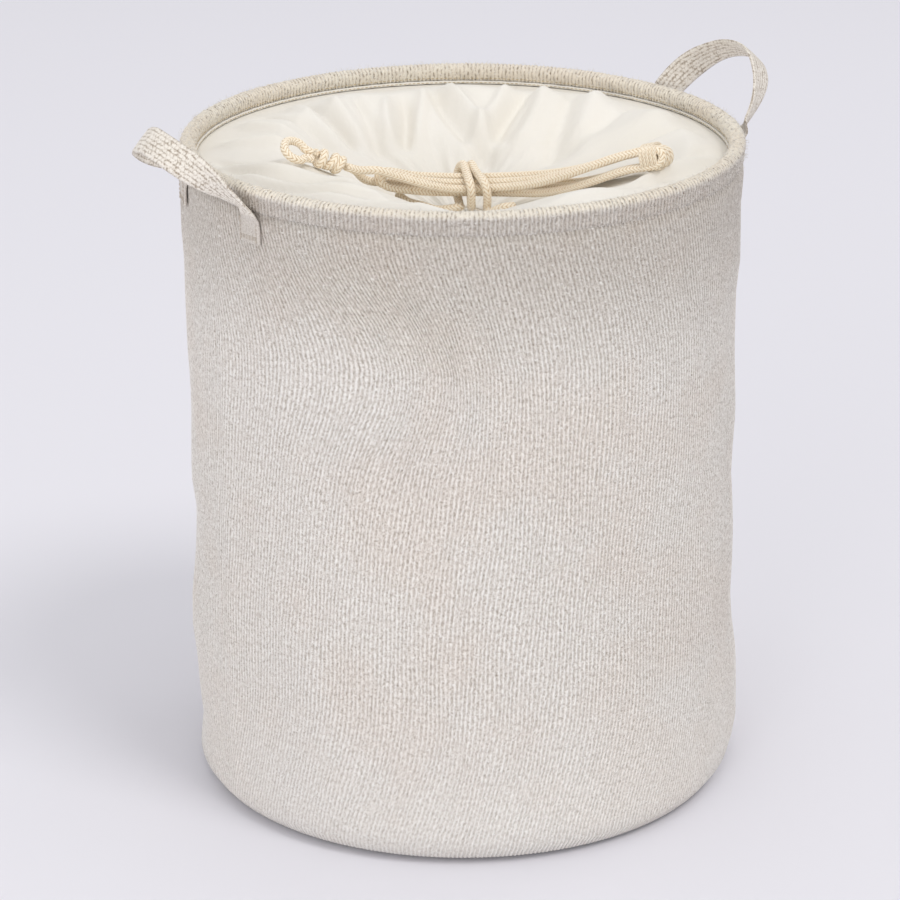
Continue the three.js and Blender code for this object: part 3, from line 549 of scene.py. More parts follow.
def knit_finish(colours):
    """Chunky ribbed knit: pale crests, grey-beige valleys, twisted yarn and fuzzy slubs."""
    finish = Finish("hamper_knit", Roughness=0.92, Specular_IOR_Level=0.2, Sheen_Weight=0.6, Sheen_Roughness=0.5,
                    Sheen_Tint=(1.0, 0.97, 0.93, 1.0))
    across, _, _ = finish.parts(finish.laid())
    x, y, up = finish.parts(finish.place())
    kink = finish.grain(280, 240, 2.0, 0.6) - 0.5
    rib = across / RIB_PITCH + kink * 0.7
    crest = (rib * (2 * math.pi)).cos() * -0.5 + 0.5
    thread = crest ** 3.0
    dash = finish.grain(460, 330, 2.0, 0.6) - 0.5
    grain = finish.grain(1050, 900, 2.0, 0.7) - 0.5
    slub = finish.grain(420, 380, 1.0).ramp(0.62, 0.76)
    matted = finish.grain(70, 70).ramp(0.5, 0.7) * 0.6
    groove = crest * (1.0 - matted) + matted * 0.5
    inner = (1.0 - ((x * x + y * y) ** 0.5).ramp(0.182, 0.1865)) * up.ramp(0.434, 0.437)
    rolled = up.ramp(0.4445, 0.4485).larger(inner)
    # Painted highlight, with the yarn's grooves and dashes in it: the roll's top and inner face are lightened as if
    # lit more from above
    painted_highlight = rolled * (groove * 0.7 + dash * 1.5 + 0.08)
    lit = groove * 0.22 + painted_highlight + thread * (1.0 - matted) * (dash * 1.6 + 0.26)
    lit = lit + dash * 0.7 + grain * 1.2 + slub * 0.3 + 0.3
    shade = finish.stepped(lit, (0.0, colours["knit_gap"]), (0.16, colours["knit_valley"]),
                           (0.45, colours["knit_side"]), (0.85, colours["knit_crest"]))
    patch = finish.noise(finish.place(), 14.0, 3.0)
    warm = finish.mix(patch.ramp(0.4, 0.65) * 0.4, (1, 1, 1, 1), colours["knit_tint"], "MULTIPLY")
    # Painted shade: the wall's knit is darkened towards the rim, where less light falls; the roll itself is left out
    painted_shade_share = up.ramp(0.32, 0.43) * (1.0 - rolled)
    shade = finish.mix(1.0, shade, warm, "MULTIPLY")
    shade = finish.mix(painted_shade_share, shade, colours["knit_dusk"], "MULTIPLY")
    shade = finish.mix(rolled * 0.8, shade, colours["knit_rim"], "MULTIPLY")
    # Painted bounce light: the knit is lightened towards the foot of the wall
    pale = (1.0 - up.ramp(0.0, 0.15)) * 0.25
    finish.paint(finish.mix(slub * 0.55 + pale, shade, colours["knit_crest"]))
    finish.raise_by(groove * 0.3 + thread * 0.3 + dash * 1.4 + grain * 1.0 + slub * 0.6, 0.0008, 0.85)
    return finish.material


def cotton_finish(colours):
    """Plain cotton sheeting: fine weave, a few slubs, soft creases."""
    finish = Finish("hamper_cotton", Roughness=0.8, Specular_IOR_Level=0.3, Sheen_Weight=0.15)
    place = finish.place()
    across, up, _ = finish.parts(finish.stretched(place, (1, 1, 1), (0.0, 0.0, 0.35)))
    yarns = 2 * math.pi / (0.55 * MM)
    weave = (across * yarns).sin() * (up * yarns).sin() * 0.5 + 0.5
    cloud = finish.noise(place, 16.0, 4.0)
    crease = finish.noise(finish.stretched(place, (34, 34, 34)), 1.0, 5.0, 0.6, 0.6)
    finish.paint(finish.mix(cloud.ramp(0.35, 0.7) * 0.5, colours["cotton"], colours["cotton_shade"]),
                 cloud * 0.15 + 0.72)
    finish.raise_by(crease * 1.0 + weave * 0.06, 0.0012, 0.5)
    return finish.material


def cover_finish(colours):
    """The cover's cotton, creased outward from its gather."""
    finish = Finish("hamper_cover", Specular_IOR_Level=0.25, Sheen_Weight=0.1)
    place = finish.place()
    x, y, _ = finish.parts(place)
    reach = (x * x + y * y) ** 0.5 + 0.004
    spoke = finish.vector(X=x / reach, Y=y / reach, Z=reach * 5.0)
    pleats = finish.noise(spoke, 9.0, 2.0, 0.5, 0.3)
    crumple = finish.noise(place, 38.0, 5.0, 0.55, 0.7)
    weave = finish.noise(finish.stretched(place, (900, 900, 900)), 1.0, 2.0)
    cloud = finish.noise(place, 14.0, 3.0)
    gathered = 1.0 - reach.ramp(0.05, 0.19)
    finish.paint(finish.mix(cloud.ramp(0.3, 0.75) * 0.6, colours["cotton"], colours["cotton_shade"]),
                 weave * 0.15 + 0.72)
    finish.raise_by(pleats * (gathered * 1.2 + 0.3) + crumple * 0.6 + weave * 0.05, 0.0022, 0.55)
    return finish.material


def webbing_finish(colours):
    """Cotton webbing: seven lengthwise rows of beaded yarn."""
    finish = Finish("hamper_webbing", Roughness=0.9, Specular_IOR_Level=0.2, Sheen_Weight=0.5,
                    Sheen_Tint=(1.0, 0.96, 0.9, 1.0))
    across, along, _ = finish.parts(finish.laid())
    wander = finish.grain(90, 90, 1.0) - 0.5
    row = (across / 0.00286 + wander * 0.5 + 0.5) * math.pi
    offset = row.sin().ramp(-0.12, 0.12) * 0.5
    fuzz = finish.grain(900, 900, 3.0, 0.6) - 0.5
    uneven = finish.grain(330, 240) - 0.5
    bead = abs(((along / 0.0031 + offset + uneven * 1.6) * math.pi).sin())
    rows = abs(row.sin())
    lit = rows * (bead * 0.5 + 0.2) + fuzz * 2.2 + uneven * 1.8 + 0.2
    # The gap colour is painted shade between the webbing's rows
    shade = finish.stepped(lit, (0.05, colours["webbing_gap"]), (0.4, colours["webbing_shade"]),
                           (0.8, colours["webbing"]))
    sewn = abs(along).ramp(SEWN_FROM - 0.004, SEWN_FROM + 0.001) * 0.85
    finish.paint(finish.mix(sewn, shade, finish.mix(fuzz * 2.0 + 0.5, colours["knit_valley"], colours["knit_side"])))
    finish.raise_by(rows * (bead * 0.3 + 0.4) + fuzz * 0.9, 0.0008, 0.7)
    return finish.material


def rope_finish(colours):
    """Braided cotton cord: plaits in chevrons, with painted tan shade in their gaps."""
    finish = Finish("hamper_rope", Roughness=0.88, Specular_IOR_Level=0.25, Sheen_Weight=0.2)
    around, along, _ = finish.parts(finish.laid())
    column = (around * PLAIT_COLUMNS).math("PINGPONG", 0.5) * 2.0
    plait = abs(((along / BRAID_PITCH + column * PLAIT_SLANT) * math.pi).sin()) ** 0.6
    plait = plait * (abs((column * math.pi).sin()) ** 0.5 * 0.4 + 0.6)
    fibre = finish.grain(60, 900, 3.0, 0.6)
    fleck = finish.grain(3, 200)
    lit = plait * 0.75 + (fibre - 0.5) * 0.5 + 0.06 - fleck.ramp(0.5, 0.75) * 0.14
    finish.paint(finish.stepped(lit, (0.1, colours["rope_gap"]), (0.4, colours["rope_shade"]), (0.7, colours["rope"])))
    finish.raise_by(plait + fibre * 0.3, 0.0006, 0.7)
    return finish.material


def thread_finish(name, colour, shade):
    """Sewing thread in two tones."""
    finish = Finish(name, Roughness=0.75, Specular_IOR_Level=0.3)
    strands = finish.noise(finish.stretched(finish.place(), (900, 900, 900)), 1.0, 2.0)
    finish.paint(finish.mix(strands, colour, shade))
    finish.raise_by(strands, 0.0002, 0.6)
    return finish.material


def fuzz_finish(colours):
    """Loose pale fibres."""
    finish = Finish("hamper_fuzz", Roughness=0.9, Specular_IOR_Level=0.2, Sheen_Weight=0.5)
    strands = finish.noise(finish.place(), 400.0, 2.0)
    finish.paint(finish.mix(strands, colours["knit_crest"], colours["knit_side"]))
    finish.raise_by(strands, 0.0001, 0.3)
    return finish.material


def metal_finish(name, colour, grain, roughness):
    """Bare metal with streaks drawn out by grain."""
    finish = Finish(name, Metallic=1.0)
    streaks = finish.noise(finish.stretched(finish.place(), grain), 1.0, 4.0)
    finish.paint(finish.mix(streaks * 0.5, colour, (0.35, 0.34, 0.33, 1)), streaks * 0.25 + roughness)
    finish.raise_by(streaks, 0.0001, 0.4)
    return finish.material


def plastic_finish(colours):
    """Moulded plastic with a fine grain."""
    finish = Finish("hamper_plastic", Specular_IOR_Level=0.45)
    grain = finish.noise(finish.place(), 900.0, 3.0)
    finish.paint(finish.mix(grain * 0.3, colours["plastic"], colours["cotton_shade"]), grain * 0.2 + 0.4)
    finish.raise_by(grain, 0.0001, 0.3)
    return finish.material


def board_finish(colours):
    """Grey-brown fibre board with long fibres and darker flecks."""
    finish = Finish("hamper_board", Roughness=0.9, Specular_IOR_Level=0.2)
    fibre = finish.noise(finish.stretched(finish.place(), (60, 700, 60)), 1.0, 5.0, 0.6)
    fleck = finish.noise(finish.place(), 420.0, 2.0)
    finish.paint(finish.stepped(fibre * 0.7 + fleck * 0.3, (0.3, colours["board_dark"]), (0.65, colours["board"])))
    finish.raise_by(fibre, 0.0003, 0.5)
    return finish.material


def floor_finish(colours):
    """A matt studio floor, faintly cloudy."""
    finish = Finish("studio_floor", Roughness=0.9, Specular_IOR_Level=0.1)
    finish.paint(finish.mix(finish.noise(finish.place(), 3.0) * 0.1, colours["floor"], colours["floor_far"]))
    return finish.material


# --- Meshes ---


def smooth(share):
    t = np.clip(share, 0.0, 1.0)
    return t * t * (3 - 2 * t)


def unit(vectors):
    """One direction, or one for each row, at a length of 1."""
    return vectors / np.linalg.norm(vectors, axis=-1, keepdims=True)


def stations_of(points):
    """How far along a line of points each one lies."""
    return np.concatenate([[0], np.cumsum(np.linalg.norm(np.diff(points, axis=0), axis=1))])


def round_points(r, turn, z):
    """Points at a radius, an azimuth in radians and a height."""
    return np.stack(np.broadcast_arrays(r * np.cos(turn), r * np.sin(turn), z), axis=-1)


def arc_points(middle, radius, angles):
    return [(middle[0] + radius * math.cos(a), middle[1] + radius * math.sin(a)) for a in angles]


def ripples(table, turn, height):
    return sum(depth * np.sin(waves * turn + height / rise + start) for depth, waves, rise, start in table)


def turned_by(points, angle):
    """Points turned about +Z."""
    c, s = math.cos(angle), math.sin(angle)
    points = np.asarray(points, float)
    return np.stack([points[..., 0] * c - points[..., 1] * s, points[..., 0] * s + points[..., 1] * c,
                     points[..., 2]], axis=-1)


def linked(name, data):
    """A new object in the scene."""
    made = bpy.data.objects.new(name, data)
    bpy.context.scene.collection.objects.link(made)
    return made


def make_piece(name, points, faces, material, laid=None, outward=True):
    """A mesh object with its own UV map in metres; faces are turned to point outward."""
    points = np.asarray(points, float).reshape(-1, 3)
    mesh = bpy.data.meshes.new(name)
    mesh.from_pydata(points.tolist(), [], faces if isinstance(faces, list) else faces.tolist())
    if outward:
        mesh.calc_loop_triangles()
        corners = np.zeros(len(mesh.loop_triangles) * 3, int)
        mesh.loop_triangles.foreach_get("vertices", corners)
        a, b, c = points[corners.reshape(-1, 3)].transpose(1, 0, 2)
        if np.einsum("ij,ij->i", a, np.cross(b, c)).sum() < 0:
            mesh.flip_normals()
    if laid is not None:
        layer = mesh.uv_layers.new(name="Laid")
        if len(laid) == len(points):
            corners = np.zeros(len(mesh.loops), int)
            mesh.loops.foreach_get("vertex_index", corners)
            laid = np.asarray(laid)[corners]
        layer.data.foreach_set("uv", np.asarray(laid, np.float32).reshape(-1))
    mesh.polygons.foreach_set("use_smooth", [True] * len(mesh.polygons))
    mesh.materials.append(material)
    return linked(name, mesh)


def grid_faces(rows, columns, closed_rows=False, closed_columns=True):
    """Quads over a grid of points counted row by row."""
    faces = []
    for i in range(rows if closed_rows else rows - 1):
        below, above = i * columns, (i + 1) % rows * columns
        for j in range(columns if closed_columns else columns - 1):
            k = (j + 1) % columns
            faces.append((below + j, below + k, above + k, above + j))
    return faces


def tube_faces(rings, columns):
    """Quads along a tube of rings, with one face over each end."""
    ends = [tuple(range(columns - 1, -1, -1)), tuple(range((rings - 1) * columns, rings * columns))]
    return grid_faces(rings, columns) + ends


def ring_of(name, outline, material, columns=240, shape=None):
    """A closed ring turned about +Z from an outline of (radius, height) points, in millimetres; shape may move
    the points, given with their azimuth."""
    outline = np.asarray(outline, float)
    azimuth = np.linspace(0, 2 * math.pi, columns, endpoint=False)
    r = np.repeat(outline[:, :1], columns, axis=1)
    z = np.repeat(outline[:, 1:], columns, axis=1)
    if shape is not None:
        r, z = shape(r, z, azimuth[None, :])
    points = round_points(r, azimuth, z) * MM
    lengths = stations_of(outline) * MM
    laid = np.stack([np.repeat((azimuth * outline[:, 0].mean() * MM)[None, :], len(outline), axis=0),
                     np.repeat(lengths[:, None], columns, axis=1)], axis=-1)
    return make_piece(name, points, grid_faces(len(outline), columns, closed_rows=True), material,
                      laid.reshape(-1, 2))


def smooth_route(points, step):
    """Points a step apart on one smooth curve through the given points."""
    p = np.asarray(points, float)
    p = np.vstack([2 * p[0] - p[1], p, 2 * p[-1] - p[-2]])
    fine = []
    for i in range(1, len(p) - 2):
        a, b, c, d = p[i - 1:i + 3]
        t = np.cumsum([0, *[max(np.linalg.norm(v), 1e-9) ** 0.5 for v in (b - a, c - b, d - c)]])
        u = np.linspace(t[1], t[2], 14, endpoint=False)[:, None]
        ab = a * (t[1] - u) / (t[1] - t[0]) + b * (u - t[0]) / (t[1] - t[0])
        bc = b * (t[2] - u) / (t[2] - t[1]) + c * (u - t[1]) / (t[2] - t[1])
        cd = c * (t[3] - u) / (t[3] - t[2]) + d * (u - t[2]) / (t[3] - t[2])
        abc = ab * (t[2] - u) / (t[2] - t[0]) + bc * (u - t[0]) / (t[2] - t[0])
        bcd = bc * (t[3] - u) / (t[3] - t[1]) + cd * (u - t[1]) / (t[3] - t[1])
        fine.append(abc * (t[2] - u) / (t[2] - t[1]) + bcd * (u - t[1]) / (t[2] - t[1]))
    fine = np.vstack([*fine, p[-2]])
    reach = stations_of(fine)
    stations = np.linspace(0, reach[-1], max(2, int(round(reach[-1] / step)) + 1))
    return np.stack([np.interp(stations, reach, fine[:, k]) for k in range(3)], axis=1), stations


def carried_frames(route):
    """Two directions square to a route at each of its points, carried along it without twist."""
    along = unit(np.gradient(route, axis=0))
    side = unit(np.cross(along[0], UP))
    sides = []
    for direction in along:
        side = unit(side - direction * side.dot(direction))
        sides.append(side)
    sides = np.array(sides)
    return sides, np.cross(along, sides)


def cord_piece(name, points, material, radius, step=0.6 * MM, columns=24):
    """A braided tube along the points, with rounded ends and the plaits standing up from it."""
    route, stations = smooth_route(points, step)
    side, rise = carried_frames(route)
    turn = np.arange(columns) / columns
    column = 1 - abs(2 * (turn[None, :] * PLAIT_COLUMNS % 1) - 1)
    plait = abs(np.sin(np.pi * (stations[:, None] / BRAID_PITCH + column * PLAIT_SLANT))) ** 0.6
    plait = plait * (0.6 + 0.4 * np.sin(np.pi * column) ** 0.5)
    total = stations[-1]
    from_end = np.minimum(stations, total - stations)
    blunt = np.sqrt(1 - np.clip(1 - (from_end + 0.05 * MM) / (0.8 * radius), 0, 1) ** 2)
    reach = radius * (CORD_CORE + PLAIT_HEIGHT * plait) * blunt[:, None]
    angle = 2 * np.pi * turn
    points = route[:, None, :] + reach[..., None] * (
        np.cos(angle)[None, :, None] * side[:, None, :] + np.sin(angle)[None, :, None] * rise[:, None, :])
    laid = []
    for i in range(len(route) - 1):
        for j in range(columns):
            laid += [(j / columns, stations[i]), ((j + 1) / columns, stations[i]),
                     ((j + 1) / columns, stations[i + 1]), (j / columns, stations[i + 1])]
    laid += [(j / columns, 0) for j in range(columns - 1, -1, -1)]
    laid += [(j / columns, total) for j in range(columns)]
    return make_piece(name, points, tube_faces(len(route), columns), material, laid, outward=False), route[::2]


# --- Geometry Nodes ---


def geometry_tree(name, floats, whole=()):
    """An empty geometry tree that takes a geometry, whole numbers, floats and a material and gives a geometry;
    gives back its graph and input values."""
    tree = bpy.data.node_groups.new(name, "GeometryNodeTree")
    tree.interface.new_socket("Geometry", in_out="INPUT", socket_type="NodeSocketGeometry")
    tree.interface.new_socket("Geometry", in_out="OUTPUT", socket_type="NodeSocketGeometry")
    for kind, titles in (("Int", whole), ("Float", floats), ("Material", ("Material",))):
        for title in titles:
            tree.interface.new_socket(title, in_out="INPUT", socket_type=f"NodeSocket{kind}")
    graph = Graph(tree)
    entry = tree.nodes.new("NodeGroupInput")
    return graph, {socket.name: Value(graph, socket) for socket in entry.outputs if socket.name}


def end_tree(graph, geometry, material):
    """Realize Instances, Set Material and the output."""
    real = graph.node("GeometryNodeRealizeInstances", values={"Geometry": geometry})
    painted = graph.node("GeometryNodeSetMaterial", values={"Geometry": real, "Material": material})
    out = graph.tree.nodes.new("NodeGroupOutput")
    graph.feed(out.inputs["Geometry"], painted)


def ribbed_knit_tree():
    """A flat field of knit ribs side by side, each a half-round strip."""
    graph, given = geometry_tree("Ribbed knit", ("Pitch", "Length", "Depth"), ("Ribs", "Rows"))
    strip = graph.node("GeometryNodeMeshGrid", values={
        "Size X": given["Pitch"], "Size Y": given["Length"], "Vertices X": RIB_FACES + 1,
        "Vertices Y": given["Rows"]})
    across, _, _ = graph.parts(graph.node("GeometryNodeInputPosition"))
    lift = (across / given["Pitch"] * math.pi).cos() * given["Depth"]
    raised = graph.node("GeometryNodeSetPosition", values={"Geometry": strip, "Offset": graph.vector(Z=lift)})
    step = graph.vector(X=given["Pitch"])
    start = graph.vector(X=given["Pitch"] * 0.5, Y=given["Length"] * 0.5)
    places = graph.node("GeometryNodeMeshLine", {"mode": "OFFSET"}, {
        "Count": given["Ribs"], "Start Location": start, "Offset": step})
    ribs = graph.node("GeometryNodeInstanceOnPoints", values={"Points": places, "Instance": raised})
    whole = graph.node("GeometryNodeMergeByDistance", values={
        "Geometry": graph.node("GeometryNodeRealizeInstances", values={"Geometry": ribs}),
        "Distance": given["Pitch"] * 0.02})
    end_tree(graph, whole, given["Material"])
    return graph.tree


def stitches_tree():
    """Short thread stitches along every edge path of a mesh."""
    graph, given = geometry_tree("Stitches", ("Spacing", "Stitch Length", "Thread"))
    path = graph.node("GeometryNodeMeshToCurve", values={"Mesh": given["Geometry"]})
    points = graph.node("GeometryNodeResampleCurve", {"mode": "LENGTH"}, {"Curve": path, "Length": given["Spacing"]})
    ball = graph.node("GeometryNodeMeshUVSphere", values={"Segments": 6, "Rings": 5, "Radius": 0.5})
    direction = graph.node("GeometryNodeInputTangent")
    turn = graph.node("FunctionNodeAlignRotationToVector", {"axis": "Z"}, {"Vector": direction})
    size = graph.vector(X=given["Thread"], Y=given["Thread"], Z=given["Stitch Length"])
    sewn = graph.node("GeometryNodeInstanceOnPoints", values={
        "Points": points, "Instance": ball, "Rotation": turn, "Scale": size})
    end_tree(graph, sewn, given["Material"])
    return graph.tree


def fuzz_tree():
    """Short curled fibres scattered over a surface."""
    graph, given = geometry_tree("Fuzz", ("Density", "Fibre Length", "Fibre"))
    scatter = graph.node("GeometryNodeDistributePointsOnFaces", values={
        "Mesh": given["Geometry"], "Density": given["Density"], "Seed": 11})
    upright = Value(graph, scatter.socket.node.outputs["Rotation"])
    arc = graph.node("GeometryNodeCurveArc", {"mode": "RADIUS"}, {
        "Resolution": 3, "Radius": given["Fibre Length"], "Start Angle": 0.0, "Sweep Angle": 1.3})
    shift = graph.vector(X=given["Fibre Length"] * -1.0)
    arc = graph.node("GeometryNodeTransform", values={"Geometry": arc, "Translation": shift})
    arc = graph.node("GeometryNodeTransform", values={"Geometry": arc, "Rotation": (math.pi / 2, 0, 0)})
    ring = graph.node("GeometryNodeCurvePrimitiveCircle", {"mode": "RADIUS"}, {
        "Resolution": 3, "Radius": given["Fibre"]})
    fibre = graph.node("GeometryNodeCurveToMesh", values={"Curve": arc, "Profile Curve": ring, "Fill Caps": True})
    spin = graph.node("FunctionNodeRandomValue", {"data_type": "FLOAT"}, {2: 0.0, 3: 6.28, "Seed": 3}, output=1)
    turn = graph.node("FunctionNodeEulerToRotation", values={0: graph.vector(Z=spin, Y=0.5)})
    turned = graph.node("FunctionNodeRotateRotation", {"rotation_space": "LOCAL"}, {
        "Rotation": upright, "Rotate By": turn})
    size = graph.node("FunctionNodeRandomValue", {"data_type": "FLOAT"}, {2: 0.4, 3: 1.3, "Seed": 7}, output=1)
    tufts = graph.node("GeometryNodeInstanceOnPoints", values={
        "Points": scatter, "Instance": fibre, "Rotation": turned, "Scale": size})
    end_tree(graph, tufts, given["Material"])
    return graph.tree


def grown(name, tree, inputs, points=(), edges=(), surface=None):
    """The plain mesh that a tree makes from a path or a surface, with the tree's inputs set."""
    mesh = bpy.data.meshes.new(name) if surface is None else surface.copy()
    if surface is None:
        mesh.from_pydata([tuple(p) for p in points], list(edges), [])
    holder = linked(name, mesh)
    modifier = holder.modifiers.new(tree.name, "NODES")
    modifier.node_group = tree
    identifiers = {item.name: item.identifier for item in tree.interface.items_tree
                   if item.item_type == "SOCKET" and item.in_out == "INPUT"}
    for title, value in inputs.items():
        modifier[identifiers[title]] = value
    shown = holder.evaluated_get(bpy.context.evaluated_depsgraph_get())
    made = bpy.data.meshes.new_from_object(shown)
    bpy.data.objects.remove(holder)
    bpy.data.meshes.remove(mesh)
    if not made.polygons:
        raise RuntimeError(f"{name}: the tree {tree.name} made no faces")
    return made


def stitched(name, paths, spacing, length, thread, material):
    """One piece of stitches that follows the paths, each a list of points and whether it closes."""
    points, edges = [], []
    for path, closed in paths:
        first = len(points)
        points += [tuple(p) for p in path]
        edges += [(first + i, first + i + 1) for i in range(len(path) - 1)]
        if closed:
            edges.append((len(points) - 1, first))
    mesh = grown(name, bpy.data.node_groups["Stitches"], {
        "Spacing": spacing, "Stitch Length": length, "Thread": thread, "Material": material}, points, edges)
    mesh.name = name
    mesh.polygons.foreach_set("use_smooth", [True] * len(mesh.polygons))
    return linked(name, mesh)


def fuzzy(name, surface, density, length, fibre, material):
    """Fibres that stand off a piece's surface, as a piece of their own."""
    mesh = grown(name, bpy.data.node_groups["Fuzz"], {
        "Density": density, "Fibre Length": length, "Fibre": fibre, "Material": material}, surface=surface.data)
    mesh.name = name
    return linked(name, mesh)


def knit_field(name, length, rows, material, depth):
    """A flat field of ribs, row by row: its points, the corners of its faces and their places on the strip."""
    flat = grown(name, bpy.data.node_groups["Ribbed knit"], {
        "Ribs": RIB_COUNT, "Rows": rows + 1, "Pitch": RIB_PITCH, "Length": length, "Depth": depth,
        "Material": material})
    points = np.zeros(len(flat.vertices) * 3)
    flat.vertices.foreach_get("co", points)
    points = points.reshape(-1, 3)
    corners = np.zeros(len(flat.loops), int)
    flat.loops.foreach_get("vertex_index", corners)
    bpy.data.meshes.remove(flat)
    columns = RIB_COUNT * RIB_FACES
    column = np.rint(points[:, 0] / (RIB_PITCH / RIB_FACES)).astype(int)
    row = np.rint(points[:, 1] / (length / rows)).astype(int)
    index = row * columns + column % columns
    field = np.zeros(((rows + 1) * columns, 3))
    field[index] = points
    field[:, 0] = np.tile(np.arange(columns) * RIB_PITCH / RIB_FACES, rows + 1)
    return field, index[corners].reshape(-1, 4), points[corners][:, :2]


def knit_piece(name, length, rows, place, thickness, material, depth, lumps=0.0):
    """Ribbed knit laid round the hamper: place gives the point and outward normal for a position across and along
    the strip, in metres. A plain inner face with one column for each rib closes it."""
    outer, corners, laid = knit_field(name, length, rows, material, depth)
    columns = RIB_COUNT * RIB_FACES
    outer[:, 2] *= 1 + lumps * np.random.default_rng(LUMP_SEED).normal(size=len(outer))
    at, normal = place(outer[:, 0], outer[:, 1])
    outside = at + normal * (outer[:, 2] - depth * RIB_SINK)[:, None]
    picked = (np.arange(rows + 1)[:, None] * columns + np.arange(0, columns, RIB_FACES)[None, :]).reshape(-1)
    inside = at[picked] - normal[picked] * thickness
    start = len(outer)
    extra = [tuple(start + i for i in face[::-1]) for face in grid_faces(rows + 1, RIB_COUNT)]
    top, last = rows * columns, start + rows * RIB_COUNT
    for j in range(RIB_COUNT):
        k = (j + 1) % RIB_COUNT
        edge = [(RIB_FACES * j + i) % columns for i in range(RIB_FACES + 1)]
        extra.append((*edge[::-1], start + j, start + k))
        extra.append((*[top + i for i in edge], last + k, last + j))
    flat_place = np.vstack([outer[:, :2], outer[picked, :2]])
    laid = np.vstack([laid, flat_place[np.concatenate(extra)]])
    return make_piece(name, np.vstack([outside, inside]), corners.tolist() + extra, material, laid, outward=False)


# --- Shapes of the wall, rim and cover ---


def off_by(azimuth, middle):
    """Degrees from one azimuth to another, the short way round."""
    return (azimuth - middle + 180) % 360 - 180


def near(azimuth, middle, width):
    """1 at an azimuth, fading over a width in degrees."""
    return np.exp(-(off_by(azimuth, middle) / width) ** 2)


def swell(azimuth, height, middle, width, at, spread):
    """A soft bump round an azimuth, in degrees as the photograph faces it, and a height."""
    return np.exp(-(off_by(azimuth, middle) / width) ** 2 - ((height - at) / spread) ** 2)


def wall_dent(azimuth, height):
    """How far the knitted wall stands out from its true cylinder, in millimetres."""
    left = np.interp(height, *zip(*LEFT_PROFILE)) * near(azimuth, *LEFT_OUTLINE)
    right = np.interp(height, *zip(*RIGHT_PROFILE)) * near(azimuth, *RIGHT_OUTLINE)
    dents = sum(depth * swell(azimuth, height, *rest) for depth, *rest in WALL_DENTS)
    billow = ripples(WALL_RIPPLES, np.radians(azimuth), height)
    ends = smooth((height - WAVES_FROM) / WAVES_FADE_LOW) * smooth((WAVES_TO - height) / WAVES_FADE_HIGH)
    crease = sum(depth * near(azimuth, middle, width) for depth, middle, width in WALL_CREASES)
    dent = (left + right + dents + billow + crease) * ends
    behind_straps = smooth(1.6 * sum(near(azimuth, middle, 6) for middle in STRAP_AZIMUTHS))
    behind_straps = behind_straps * smooth((height - RECESS_FROM) / 30)
    over_cap = np.minimum(dent, 0) * near(azimuth, CAP_AZIMUTH, 6)
    return dent - (np.maximum(dent, 0) + STRAP_RECESS) * behind_straps - over_cap


def pressed_in(turn, height):
    """How far a dent of the wall presses what lies inside it, for an azimuth in radians in the hamper's frame."""
    return np.maximum(-wall_dent(np.degrees(turn - VIEW_TURN), height) - INSIDE_GAP, 0)


def turn_of(across):
    """The azimuth of a place across the knit's strip, in radians."""
    return across / RIB_PITCH / RIB_COUNT * 2 * math.pi + SEAM_TURN


def wall_place(across, along):
    """The knitted wall: turned under at the foot, straight up, drawn in at the seam below the rim."""
    angle = np.clip(along / MM / WALL_CORNER, 0, math.pi / 2) - math.pi / 2
    straight = np.maximum(along / MM - WALL_CORNER * math.pi / 2, 0)
    r = WALL_RADIUS - WALL_CORNER + WALL_CORNER * np.cos(angle)
    z = WALL_LIFT + WALL_CORNER + WALL_CORNER * np.sin(angle) + straight
    turn = turn_of(across)
    seen = np.degrees(turn - VIEW_TURN)
    loose = smooth(z / DRIFT_FADE) * smooth((DRIFT_TO - z) / DRIFT_FADE)
    drags = sum(reach * swell(seen, z, *rest) for reach, *rest in RIB_DRIFTS)
    drift = (ripples(RIB_RIPPLES, np.radians(seen), z) + drags) * loose + np.interp(z, *zip(*RIB_LEAN))
    turn = turn + drift / WALL_RADIUS
    upright = np.clip(np.cos(angle) * 1.6, 0, 1)
    drawn_in = SEAM_DRAWN_IN * smooth((z - SEAM_FROM) / SEAM_OVER)
    r = r + wall_dent(np.degrees(turn - VIEW_TURN), z) * upright - drawn_in
    normal = round_points(np.cos(angle), turn, np.sin(angle))
    return round_points(r, turn, z) * MM, normal


def rim_place(across, along):
    """The knit round the hoop: up from the wall seam, over the roll, and down to the cover's binding."""
    s = along / MM
    angle = np.clip((s - ROLL_LEG) / ROLL_RADIUS, 0, ROLL_BEND) - ROLL_SLANT
    turn = turn_of(across) + RIB_LEAN[-1][1] / WALL_RADIUS
    wave = ripples(RIM_RIPPLES, turn - VIEW_TURN, 0)
    r = ROLL_MIDDLE[0] + ROLL_RADIUS * np.cos(angle)
    z = ROLL_MIDDLE[1] + ROLL_RADIUS * np.sin(angle)
    z = z - np.maximum(ROLL_LEG - s, 0) - np.maximum(s - ROLL_LEG - ROLL_BEND * ROLL_RADIUS, 0)
    r = r - RIM_SEAM_DEPTH * np.exp(-(s / RIM_SEAM_WIDTH) ** 2) + RIPPLE_OUT * wave * np.cos(angle)
    z = z + RIPPLE_UP * wave * np.sin(np.clip(angle, 0, math.pi))
    return round_points(r, turn, z) * MM, round_points(np.cos(angle), turn, np.sin(angle))


def crest_radius(azimuth):
    """Where the cover stands highest, for an azimuth in radians as the photograph faces it."""
    turn = azimuth / (2 * math.pi) * len(CREST_SHARES)
    low = np.floor(turn).astype(int)
    shares = np.array(CREST_SHARES)
    first, second = shares[low % len(shares)], shares[(low + 1) % len(shares)]
    return COVER_EDGE[0] * (first + (second - first) * smooth(turn - low))


